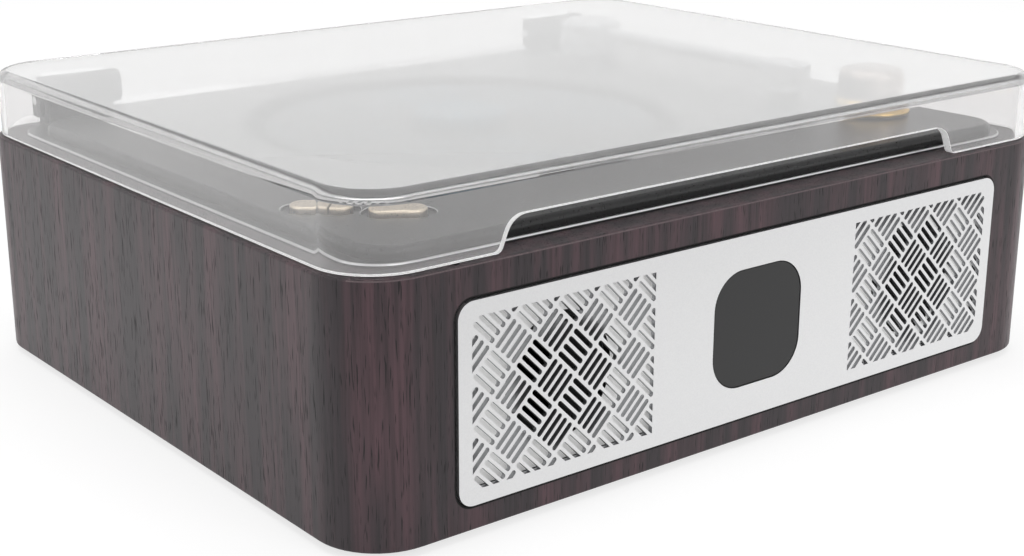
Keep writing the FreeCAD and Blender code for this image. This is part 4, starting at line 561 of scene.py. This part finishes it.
class Blank:
    """A mesh in the making, in millimetres."""

    # How close points have to be to become one, in a turned blank and in a CAD mesh
    WELD, CAD_WELD = 1e-4, 2e-3
    # Turns between two faces, in degrees: flat up to the first, an edge to round, an edge to shade sharp
    FLAT, SHARP, CREASE = 0.4, 32.0, 38.0

    def __init__(self, mesh: bmesh.types.BMesh) -> None:
        """Keeps the mesh that the other methods work on."""
        self.mesh = mesh

    @classmethod
    def turned(cls, profile: Sequence[Pair], steps: int, ring: bool = False) -> "Blank":
        """Spins a profile round the Z axis.

        Args:
            profile: Radius and height of each point, in order.
            steps: How many flats make the full turn.
            ring: Whether the profile closes on itself, as it does for a ring.

        Returns:
            The turned blank.
        """
        mesh = bmesh.new()
        points = [mesh.verts.new((radius, 0.0, height)) for radius, height in profile]
        ends = points[1:] + points[:1] if ring else points[1:]
        edges = [mesh.edges.new(pair) for pair in zip(points, ends)]
        bmesh.ops.spin(mesh, geom=points + edges, cent=(0, 0, 0), axis=(0, 0, 1), angle=math.tau,
                       steps=steps, use_merge=True)
        bmesh.ops.remove_doubles(mesh, verts=mesh.verts[:], dist=cls.WELD)
        bmesh.ops.recalc_face_normals(mesh, faces=mesh.faces[:])
        return cls(mesh)

    @classmethod
    def copied(cls, node: str) -> "Blank":
        """Takes a copy of a CAD node's mesh, merged, with its flat faces made whole.

        Args:
            node: The node's name.

        Returns:
            The copy.
        """
        mesh = bmesh.new()
        mesh.from_mesh(frame["nodes"][node].data)
        bmesh.ops.scale(mesh, vec=(1 / MM, 1 / MM, 1 / MM), verts=mesh.verts[:])
        bmesh.ops.remove_doubles(mesh, verts=mesh.verts[:], dist=cls.CAD_WELD)
        bmesh.ops.dissolve_limit(mesh, angle_limit=math.radians(cls.FLAT), verts=mesh.verts[:],
                                 edges=mesh.edges[:])
        return cls(mesh)

    def soften(self, width: float, segments: int = 2, where: Optional[EdgePick] = None,
               inner: bool = False) -> "Blank":
        """Rounds sharp edges.

        Args:
            width: How far the rounding runs from the edge.
            segments: How many flats make it.
            where: Picks among the sharp edges.
            inner: Whether inner corners are rounded rather than outer edges.

        Returns:
            This blank.
        """
        turn = math.radians(self.SHARP)
        edges = [e for e in self.mesh.edges if e.is_manifold and e.is_convex != inner
                 and e.calc_face_angle() > turn and (where is None or where(e))]
        bmesh.ops.bevel(self.mesh, geom=edges, offset=width, offset_type="OFFSET", segments=segments,
                        profile=0.5, affect="EDGES", clamp_overlap=True, material=-1)
        return self

    def placed(self, at: Point) -> "Blank":
        """Moves the blank's origin to its place."""
        bmesh.ops.translate(self.mesh, vec=at, verts=self.mesh.verts[:])
        return self

    def join(self, other: "Blank") -> None:
        """Takes another blank into this one.

        Args:
            other: The blank to take in.
        """
        spare = bpy.data.meshes.new("spare")
        other.mesh.to_mesh(spare)
        self.mesh.from_mesh(spare)
        bpy.data.meshes.remove(spare)

    def finished(self, name: str) -> bpy.types.Object:
        """Makes the object, smooth apart from its sharp edges.

        Args:
            name: The piece's name.

        Returns:
            The object, at the origin, in metres.
        """
        for face in self.mesh.faces:
            face.smooth = True
        for edge in self.mesh.edges:
            edge.smooth = edge.is_manifold and edge.calc_face_angle() < math.radians(self.CREASE)
        bmesh.ops.scale(self.mesh, vec=(MM, MM, MM), verts=self.mesh.verts[:])
        data = bpy.data.meshes.new(name)
        self.mesh.to_mesh(data)
        self.mesh.free()
        leftover = data.attributes.get("custom_normal")
        if leftover:
            data.attributes.remove(leftover)
        data.materials.clear()
        piece = bpy.data.objects.new(name, data)
        bpy.context.scene.collection.objects.link(piece)
        evened = piece.modifiers.new("even_normals", "WEIGHTED_NORMAL")
        evened.keep_sharp = True
        return piece


class SubAssembly:
    """What every group of pieces shares: dressing CAD nodes and adding finished pieces."""

    def dress(self, finish: Finish, *nodes: str) -> None:
        """Gives CAD nodes a finish.

        Args:
            finish: The finish.
            *nodes: The nodes' names.
        """
        for name in nodes:
            materials = frame["nodes"][name].data.materials
            materials.clear()
            materials.append(finish.material())
            LOG.info("%s: %s", name, finish.name)

    def add(self, blank: Blank, name: str, finish: Finish, body: Body, *stands_for: str) -> bpy.types.Object:
        """Finishes a blank as a piece of the object.

        Args:
            blank: The mesh.
            name: The piece's name.
            finish: Its finish.
            body: The body that it rides on.
            *stands_for: The CAD nodes that it replaces.

        Returns:
            The piece.
        """
        piece = blank.finished(name)
        piece.data.materials.append(finish.material())
        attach(piece, body.value)
        if stands_for:
            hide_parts(*stands_for)
        LOG.info("%s: %s, %d faces, rides on %s", name, finish.name, len(piece.data.polygons), body.value)
        return piece

    def refine(self, node: str, name: str, finish: Finish, width: float,
               segments: int = 2) -> bpy.types.Object:
        """Makes a piece from a CAD node, with its sharp edges rounded as the real process leaves them.

        Args:
            node: The node.
            name: The piece's name.
            finish: Its finish.
            width: How far the rounding runs in from an edge.
            segments: How many flats make it.

        Returns:
            The piece.
        """
        body = Body(frame["nodes"][node]["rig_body"])
        return self.add(Blank.copied(node).soften(width, segments), name, finish, body, node)

    def paint(self, piece: bpy.types.Object, finish: Finish, where: FacePick) -> None:
        """Gives some faces of a piece a finish of their own.

        Args:
            piece: The piece.
            finish: The finish.
            where: Picks a face by its middle, in millimetres, and its normal.
        """
        piece.data.materials.append(finish.material())
        number = len(piece.data.materials) - 1
        for face in piece.data.polygons:
            if where(face.center / MM, face.normal):
                face.material_index = number


@dataclass
class Cabinet(SubAssembly):
    """The veneered sleeve with its base board, feet, cleats and screws."""

    edge: float = 0.3
    top_highlight_reach: float = 0.8
    top_highlight_slope: Pair = (0.3, 0.7)
    front: float = -106.3
    wall: float = 12.0
    top: float = 70.2
    mouth: float = 0.5
    ledge_y: float = 98.5
    rebate_x: float = 102.5
    rebate_low: float = 7.9
    rebate_high: float = 62.3
    rebate_start: float = 0.02
    ceiling_slope: float = -0.4
    foot_radius: float = 8.0
    foot_toe: float = 7.2
    foot_height: float = 2.0
    foot_chamfer: float = 0.5
    foot_lip: float = 1.5
    foot_dish: float = 0.7
    foot_round: float = 0.25
    foot_x: float = 104.0
    foot_y: float = 80.3

    def build(self) -> None:
        """Makes the sleeve and the feet, and dresses the rest."""
        self.sleeve()
        self.dress(BOARD, "base_plate")
        feet = self.foot((self.foot_x, self.foot_y, 0.0))
        for x, y in ((-1, 1), (1, -1), (-1, -1)):
            feet.join(self.foot((x * self.foot_x, y * self.foot_y, 0.0)))
        self.add(feet, "moulded_feet", RUBBER, Body.CABINET, "rubber_feet")
        self.dress(HARDWOOD, "deck_cleats")
        self.dress(STEEL, "wood_screws", "small_screws")

    def sleeve(self) -> None:
        """Makes the sleeve with a painted highlight on its top edge at the front and painted shade in its
        rebate.
        """
        # The rebate's mouth is rounded so that the painted shade shows as a wider line
        blank = Blank.copied("cabinet_shell").soften(self.mouth, where=whole(
            lambda at: abs(at.y - self.front) < NEAR and self.is_opening(at)))
        blank.soften(self.edge, segments=3)
        piece = self.add(blank, "veneered_sleeve", VENEER, Body.CABINET, "cabinet_shell")
        # Painted highlight: a pale line on the middle of the top edge's rounding, at the front only
        low, high = self.top_highlight_slope
        self.paint(piece, VENEER_EDGE_HIGHLIGHT, lambda at, normal: at.z > self.top - self.top_highlight_reach - NEAR
                   and low < normal.z < high and at.y < -self.ledge_y)
        # Painted shade: near black in the rebate and the opening behind it
        self.paint(piece, REBATE_SHADE, lambda at, normal: self.is_rebate(at) and normal.z > self.ceiling_slope)

    def is_opening(self, at: Vector) -> bool:
        """Tells whether a point lies within the rebate's outline, seen from the front."""
        return abs(at.x) < self.rebate_x and self.rebate_low < at.z < self.rebate_high

    def is_rebate(self, at: Vector) -> bool:
        """Tells whether a point is in the front panel's rebate or in the opening behind it."""
        return self.front + self.rebate_start < at.y < self.front + self.wall and self.is_opening(at)

    def foot(self, at: Point) -> Blank:
        """Makes one foot with a dished sole.

        Args:
            at: The middle of its sole.

        Returns:
            The foot.
        """
        sole = self.foot_toe - self.foot_chamfer
        lip = sole - self.foot_lip
        return Blank.turned([
            (0.0, self.foot_dish), (lip - self.foot_chamfer, self.foot_dish), (lip, 0.0), (sole, 0.0),
            (self.foot_toe, self.foot_chamfer), (self.foot_radius, self.foot_height), (0.0, self.foot_height),
        ], steps=48).soften(self.foot_round).placed(at)


@dataclass
class FrontFascia(SubAssembly):
    """The slotted metal panel, the moulding behind it and the middle pane."""

    edge: float = 0.16
    baffle_edge: float = 0.2
    pane_edge: float = 0.35
    grille_x: float = 99.0
    slot_slope: float = 0.3
    unit_x: float = 68.0
    unit_z: float = 35.1
    hole: float = 24.0
    hole_slope: float = 0.9

    def build(self) -> None:
        """Makes the panel with painted shade on the walls of its slots, the baffle with painted shade on its
        hole walls and a faint painted glow, and the pane.
        """
        panel = self.refine("front_panel", "slotted_front_panel", PANEL, self.edge)
        # Painted shade on the slot walls
        self.paint(panel, SLOT_WALL_SHADE, lambda at, normal: abs(normal.y) < self.slot_slope
                   and abs(at.x) < self.grille_x)
        # Painted light: the baffle's white glows faintly
        baffle = self.refine("speaker_baffle", "white_speaker_baffle", WHITE, self.baffle_edge)
        # Painted shade on the walls of the drive units' holes
        self.paint(baffle, HOLE_WALL_SHADE, lambda at, normal: abs(normal.y) < self.hole_slope and math.hypot(
            abs(at.x) - self.unit_x, at.z - self.unit_z) < self.hole)
        self.refine("display_window", "smoked_pane", WINDOW, self.pane_edge, segments=3)
        self.dress(CIRCUIT, "display_board")


@dataclass
class Speaker(SubAssembly):
    """One drive unit: steel basket, ferrite magnet, paper cone, rubber roll and dust cap."""

    side: str
    edge: float = 0.15

    def build(self) -> None:
        """Makes the parts that show through the slots and dresses the rest."""
        for part, finish in (("basket", STEEL), ("cone", PAPER), ("surround", RUBBER), ("dust_cap", PAPER)):
            node = f"{self.side}_speaker_{part}"
            self.refine(node, f"{self.side}_unit_{part}", finish, self.edge)
        self.dress(FERRITE, f"{self.side}_speaker_magnet")


@dataclass
class Deck(SubAssembly):
    """The black deck moulding with its plinth, well and recesses."""

    edge: float = 0.3
    flange_x: float = 121.0
    flange_rear: float = 96.5
    flange_top: float = 71.2
    flange_corner: float = 8.0
    corner_depth: float = 2.2
    side_depth: float = 0.6
    plinth_top: float = 74.5
    highlight_round: float = 0.5
    highlight_below: float = 1.0
    highlight_above: float = 0.01
    highlight_slope: Pair = (0.2, 0.97)
    keys_x: Pair = (-113.5, -78.0)
    keys_y: Pair = (-82.0, -40.0)

    def build(self) -> None:
        """Makes the moulding with its edges as the mould leaves them, and a painted highlight on its flange's
        rim and round its key recesses.
        """
        blank = Blank.copied("deck").soften(self.highlight_round, where=whole(
            lambda at: abs(at.z - self.flange_top) < NEAR and self.is_rim(at)))
        blank.soften(self.edge, segments=3, where=whole(lambda at: at.z > self.plinth_top - NEAR))
        piece = self.add(blank, "black_deck_moulding", DECK, Body.CABINET, "deck")
        # Painted highlight on the flange's rim and on the upper edges of the key recesses
        self.paint(piece, EDGE_HIGHLIGHT, self.is_trim)

    def is_trim(self, at: Vector, normal: Vector) -> bool:
        """Tells whether a face takes the painted highlight on the flange's edge or round a key's recess.

        Args:
            at: The face's middle.
            normal: Its normal.

        Returns:
            True where it is.
        """
        low, high = self.highlight_slope
        level = self.flange_top - self.highlight_below < at.z < self.flange_top + self.highlight_above
        return low < normal.z < high and (level and self.is_rim(at) or self.is_recess(at))

    def is_recess(self, at: Vector) -> bool:
        """Tells whether a point is on the upper edge of a key's recess."""
        return (self.plinth_top - self.edge - NEAR < at.z < self.plinth_top
                and self.keys_x[0] < at.x < self.keys_x[1] and self.keys_y[0] < at.y < self.keys_y[1])

    def is_rim(self, at: Vector) -> bool:
        """Tells whether a point is on the flange's outer edge rather than at the foot of the plinth.

        Args:
            at: The point.

        Returns:
            True where it is.
        """
        corner = self.flange_corner
        across, along = abs(at.x) - (self.flange_x - corner), abs(at.y) - (self.flange_rear - corner)
        if across > 0 and along > 0:
            return math.hypot(across, along) > corner - self.corner_depth
        return max(across, along) > corner - self.side_depth


@dataclass
class DiscDrive(SubAssembly):
    """The spindle with its disc and clamp, and the sled that carries the pickup."""

    hub_edge: float = 0.2
    sled_edge: float = 0.25
    lens_edge: float = 0.1
    disc_under: float = 71.6
    disc_radius: float = 60.0
    disc_hole: float = 7.5
    disc_thickness: float = 1.2
    disc_edge: float = 0.12
    ring_radius: float = 17.0
    ring_foot: float = 0.5
    ring_crest: float = 0.3
    ring_drop: float = 0.15
    puck_radius: float = 14.3
    puck_height: float = 3.6
    puck_edge: float = 0.4
    puck_lip: float = 2.6
    puck_boss: float = 2.8
    dish_slope: float = 0.6
    dish_depth: float = 0.5
    hollow_radius: float = 7.7
    hollow_depth: float = 1.8

    def build(self) -> None:
        """Makes the disc and the clamp, and dresses the drive."""
        self.add(self.disc(), "pressed_disc", DISC, Body.PLATTER, "compact_disc")
        self.add(self.puck(), "turned_clamp", CLAMP, Body.PLATTER, "clamp_puck")
        self.refine("spindle_hub", "moulded_hub", BLACK, self.hub_edge)
        self.refine("pickup_sled", "moulded_sled", BLACK, self.sled_edge)
        self.refine("objective_lens", "pickup_lens", LENS, self.lens_edge)
        self.dress(ROD, "spindle_shaft", "guide_rods", "lead_screw")
        self.dress(STEEL, "mechanism_chassis", "spindle_motor", "sled_motor")
        self.dress(RUBBER, "chassis_dampers")

    def disc(self) -> Blank:
        """Makes the disc with its stacking ring and rounded rim.

        Returns:
            The disc.
        """
        hole, outer, top, ring = self.disc_hole, self.disc_radius, self.disc_thickness, self.ring_radius
        foot, crest, drop = self.ring_foot, self.ring_crest, -self.ring_drop
        return Blank.turned([
            (hole, 0.0), (hole, top), (outer, top), (outer, 0.0),
            (ring + foot, 0.0), (ring + crest, drop), (ring - crest, drop), (ring - foot, 0.0),
        ], steps=180, ring=True).soften(self.disc_edge).placed((*SPINDLE, self.disc_under))

    def puck(self) -> Blank:
        """Makes the clamp with its dished top and its hollow for the spindle's nose.

        Returns:
            The clamp.
        """
        outer, top, lip = self.puck_radius, self.puck_height, self.puck_radius - self.puck_lip
        hollow, boss, dish = self.hollow_radius, self.puck_boss, self.puck_height - self.dish_depth
        seat = self.disc_under + self.disc_thickness
        return Blank.turned([
            (0.0, self.hollow_depth), (hollow, self.hollow_depth), (hollow, 0.0), (outer, 0.0),
            (outer, top), (lip, top), (lip - self.dish_slope, dish), (boss + self.dish_slope, dish),
            (boss, top), (0.0, top),
        ], steps=120).soften(self.puck_edge, segments=3).placed((*SPINDLE, seat))


@dataclass
class Keys(SubAssembly):
    """The two skip keys, the play key and the switches below them."""

    edge: float = 0.35

    def build(self) -> None:
        """Makes the keys and dresses the board below."""
        for name in ("previous", "next", "play"):
            self.refine(f"{name}_button", f"plated_{name}_key", CHAMPAGNE, self.edge, segments=3)
        self.dress(CIRCUIT, "button_board")
        self.dress(COMPONENT, "key_switches")


@dataclass
class VolumeControl(SubAssembly):
    """The brass knob on its potentiometer."""

    deck_top: float = 74.5
    gap: float = 0.5
    radius: float = 10.3
    skirt: float = 11.4
    skirt_height: float = 1.1
    neck: float = 2.4
    height: float = 12.0
    roof: float = 2.5
    crown: float = 2.4
    pale_top_from: float = 4.5
    cavity: float = 8.0
    edge: float = 0.22

    def build(self) -> None:
        """Makes the knob and dresses the potentiometer."""
        knob = self.add(self.knob(), "turned_brass_knob", BRASS, Body.VOLUME, "volume_knob")
        # Painted light: the knob paler above the skirt
        self.paint(knob, KNOB_PALE_TOP, lambda at, normal: at.z > self.deck_top + self.pale_top_from)
        self.dress(ROD, "volume_shaft")
        self.dress(STEEL, "volume_potentiometer", "potentiometer_nut")

    def knob(self) -> Blank:
        """Makes the knob with its skirt, round crown and hollow underside.

        Returns:
            The knob.
        """
        under = self.height - self.roof
        knob = Blank.turned([
            (self.cavity, self.gap), (self.skirt, self.gap), (self.skirt, self.gap + self.skirt_height),
            (self.radius, self.gap + self.neck), (self.radius, self.height), (0.0, self.height),
            (0.0, under), (self.cavity, under),
        ], steps=128, ring=True)
        knob.soften(self.crown, segments=8, where=whole(
            lambda at: at.z > self.height - LOOSE and at.xy.length > self.radius - LOOSE))
        return knob.soften(self.edge).placed((*KNOB, self.deck_top))


@dataclass
class Arm(SubAssembly):
    """The pivot, the tube, the head and the rest that it lies on."""

    edge: float = 0.3

    def build(self) -> None:
        """Makes the arm's pieces."""
        for node, name in (("arm_base", "arm_pivot_base"), ("arm_housing", "arm_pivot_housing"),
                           ("arm_tube", "drawn_arm_tube"), ("arm_head", "arm_head_shell"),
                           ("arm_rest", "arm_rest_post")):
            self.refine(node, name, ARM_SILVER, self.edge)


@dataclass
class DustCover(SubAssembly):
    """The clear cover with its hinges and bumpers."""

    edge: float = 0.35
    rim_round: float = 0.7
    inner_round: float = 1.2
    underside: float = 87.8
    flat_slope: float = 0.99
    bend_reach: float = 0.8
    bend_slope: float = 0.02
    rim: float = 70.6
    rim_slope: float = -0.1
    front: float = -105.0
    wall: float = 2.6
    wall_slope: float = 0.97
    notch_reach: float = 95.0
    notch_top: float = 79.2
    glow_reach: float = 90.0
    block_edge: float = 0.3
    cheek_front: float = 96.0
    cheek_round: float = 2.8
    cheek_edge: float = 0.2

    def build(self) -> None:
        """Makes the cover and its hinges."""
        self.cover()
        for side in ("left", "right"):
            self.refine(f"{side}_hinge_block", f"{side}_hinge_moulding", BLACK, self.block_edge)
            cheeks = Blank.copied(f"{side}_hinge_bracket")
            cheeks.soften(self.cheek_round, segments=6, where=self.is_nose).soften(self.cheek_edge)
            self.add(cheeks, f"{side}_hinge_cheeks", BLACK, Body.COVER, f"{side}_hinge_bracket")
        self.dress(ROD, "hinge_pins")
        self.dress(RUBBER, "cover_bumpers")

    def is_nose(self, edge: bmesh.types.BMEdge) -> bool:
        """Tells whether an edge lies across the front of a hinge cheek."""
        first, second = (v.co for v in edge.verts)
        return max(first.y, second.y) < self.cheek_front + NEAR and abs(first.z - second.z) < LOOSE

    def cover(self) -> None:
        """Makes the cover, with a painted reflection on top, painted shade in its bend and a painted glow
        along its lower edge and round its notch.
        """
        blank = Blank.copied("dust_cover")
        blank.soften(self.inner_round, segments=4, inner=True,
                     where=whole(lambda at: abs(at.z - self.underside) < NEAR))
        blank.soften(self.rim_round, segments=4,
                     where=whole(lambda at: at.z < self.rim + NEAR or self.is_notch(at)))
        blank.soften(self.edge, segments=3)
        cover = self.add(blank, "acrylic_cover", ACRYLIC, Body.COVER, "dust_cover")
        # Painted reflection: the top plate milkier than the walls
        self.paint(cover, ACRYLIC_TOP_REFLECTION, lambda at, normal: at.z > self.underside - LOOSE
                   and abs(normal.z) > self.flat_slope)
        # Painted shade: the bend darker than the sheet
        self.paint(cover, ACRYLIC_BEND_SHADE, lambda at, normal: at.z > self.underside - self.bend_reach
                   and self.bend_slope < normal.z < self.flat_slope)
        # Painted glow along the lower edge and round the notch, left off at the rear
        self.paint(cover, ACRYLIC_EDGE_GLOW, self.is_edge)

    def is_notch(self, at: Vector) -> bool:
        """Tells whether a point is in the part of the front wall that holds the notch."""
        return (self.front - LOOSE < at.y < self.front + self.wall + LOOSE and abs(at.x) < self.notch_reach
                and at.z < self.notch_top + LOOSE)

    def is_edge(self, at: Vector, normal: Vector) -> bool:
        """Tells whether a face is part of the rim's lower edge or of the notch's edge.

        Args:
            at: The face's middle.
            normal: Its normal.

        Returns:
            True where it is.
        """
        lower = at.z < self.rim + self.rim_round and normal.z < self.rim_slope and at.y < self.glow_reach
        return lower or self.is_notch(at) and abs(normal.y) < self.wall_slope


@dataclass
class Rear(SubAssembly):
    """The rear panel with its two sockets."""

    edge: float = 0.3
    socket_edge: float = 0.15

    def build(self) -> None:
        """Makes the panel and its sockets."""
        self.refine("rear_panel", "rear_socket_panel", BLACK, self.edge)
        self.refine("power_inlet", "power_inlet_body", BLACK, self.socket_edge)
        self.refine("audio_socket", "audio_socket_body", BLACK, self.socket_edge)


@dataclass
class Electronics(SubAssembly):
    """The main board with its parts, inside the cabinet."""

    def build(self) -> None:
        """Dresses the board and its parts."""
        self.dress(CIRCUIT, "main_board")
        self.dress(COMPONENT, "board_components")


@dataclass
class Studio:
    """The white floor and background, the soft lamps and the camera; floor and lamps are in metres."""

    eye: Point = (-325.735, -409.363, 184.607)
    aim: Point = (-0.553, 0.0, 22.285)
    lens: float = 59.904
    sensor: float = 36.0
    nearest: float = 0.01
    roll: float = 0.14
    ambient: float = 0.55
    lit: Point = (0.0, 0.0, 0.04)
    floor_reach: float = 6.0
    floor_paper: str = "#f2f2f2"
    floor_level: float = 0.72
    shadow: float = 0.35
    toward: Point = (-0.35, -0.94, 0.0)
    dim_reach: Pair = (-0.02, 0.4)
    dim_level: Pair = (0.75, 0.22)

    def build(self) -> None:
        """Sets the view transform and makes the stage."""
        bpy.context.scene.view_settings.view_transform = "Standard"
        self.floor()
        self.world()
        self.lamp("overhead_softbox", (0.0, 0.1, 1.2), size=1.2, power=6.0)
        self.lamp("front_softbox", (0.0, -1.3, 0.6), size=1.0, power=5.2)
        self.lamp("left_softbox", (-1.3, 0.1, 0.6), size=1.0, power=2.7)
        self.camera()

    def floor(self) -> None:
        """Makes the floor, which shows white, keeps a light shadow and reflects darker towards the camera."""
        data = bpy.data.meshes.new("studio_floor")
        mesh = bmesh.new()
        bmesh.ops.create_grid(mesh, x_segments=1, y_segments=1, size=self.floor_reach)
        mesh.to_mesh(data)
        mesh.free()
        floor = bpy.data.objects.new("studio_floor", data)
        bpy.context.scene.collection.objects.link(floor)
        material = bpy.data.materials.new("white_paper_floor")
        material.use_nodes = True
        tree = material.node_tree
        tree.nodes.clear()
        out = add_node(tree, "OutputMaterial", {})
        shown, mirrored = looked_at(tree)
        place = add_node(tree, "TexCoord", {})
        ahead = add_node(tree, "VectorMath", {
            0: place.outputs["Object"], 1: self.toward}, operation="DOT_PRODUCT")
        dim = add_node(tree, "MapRange", {
            "Value": ahead.outputs["Value"], "From Min": self.dim_reach[0], "From Max": self.dim_reach[1],
            "To Min": self.dim_level[0], "To Max": self.dim_level[1]})
        level = add_node(tree, "Mix", {
            FACTOR: mirrored, FIRST_NUMBER: self.floor_level, SECOND_NUMBER: dim.outputs[0]})
        paper = add_node(tree, "BsdfDiffuse", {"Color": linear(self.floor_paper)})
        faint = add_node(tree, "BsdfDiffuse", {
            "Color": (self.shadow, self.shadow, self.shadow, 1.0)})
        glow = add_node(tree, "Emission", {"Color": PURE_WHITE, "Strength": level.outputs[0]})
        white = add_node(tree, "AddShader", {0: faint.outputs[0], 1: glow.outputs[0]})
        chosen = add_node(tree, "MixShader", {
            0: shown, 1: paper.outputs[0], 2: white.outputs[0]})
        wire(tree, out, {"Surface": chosen.outputs[0]})
        data.materials.append(material)

    def world(self) -> None:
        """Makes the white background, dimmer as a light than it looks."""
        world = bpy.data.worlds.new("white_studio")
        world.use_nodes = True
        bpy.context.scene.world = world
        tree = world.node_tree
        shown, _ = looked_at(tree)
        level = add_node(tree, "MapRange", {"Value": shown, "To Min": self.ambient})
        wire(tree, tree.nodes["Background"], {"Color": PURE_WHITE, "Strength": level.outputs[0]})

    def lamp(self, name: str, at: Point, size: float, power: float) -> None:
        """Hangs one square softbox that faces the object.

        Args:
            name: The lamp's name.
            at: Where it hangs, in metres.
            size: The length of its side, in metres.
            power: Its power in watts.
        """
        data = bpy.data.lights.new(name, "AREA")
        data.size = size
        data.energy = power
        lamp = bpy.data.objects.new(name, data)
        lamp.location = at
        lamp.rotation_euler = (Vector(self.lit) - Vector(at)).to_track_quat("-Z", "Y").to_euler()
        lamp.visible_glossy = False
        bpy.context.scene.collection.objects.link(lamp)

    def camera(self) -> None:
        """Stands the camera where the photograph was taken from."""
        data = bpy.data.cameras.new("view")
        data.lens = self.lens
        data.sensor_width = self.sensor
        data.clip_start = self.nearest
        camera = bpy.data.objects.new("view", data)
        eye, aim = Vector(self.eye) * MM, Vector(self.aim) * MM
        turn = (aim - eye).to_track_quat("-Z", "Y") @ Quaternion((0, 0, 1), math.radians(self.roll))
        camera.location = eye
        camera.rotation_euler = turn.to_euler()
        bpy.context.scene.collection.objects.link(camera)
        bpy.context.scene.camera = camera


def main() -> None:
    """Builds the stage and every sub-assembly in order."""
    logging.basicConfig(level=logging.INFO, format="%(name)s %(message)s")
    assemblies = [
        Studio(), Cabinet(), FrontFascia(), Speaker("left"), Speaker("right"), Deck(), DiscDrive(), Keys(),
        VolumeControl(), Arm(), DustCover(), Rear(), Electronics(),
    ]
    for assembly in assemblies:
        LOG.info("building %s", type(assembly).__name__)
        assembly.build()


if __name__ == "__main__":
    main()
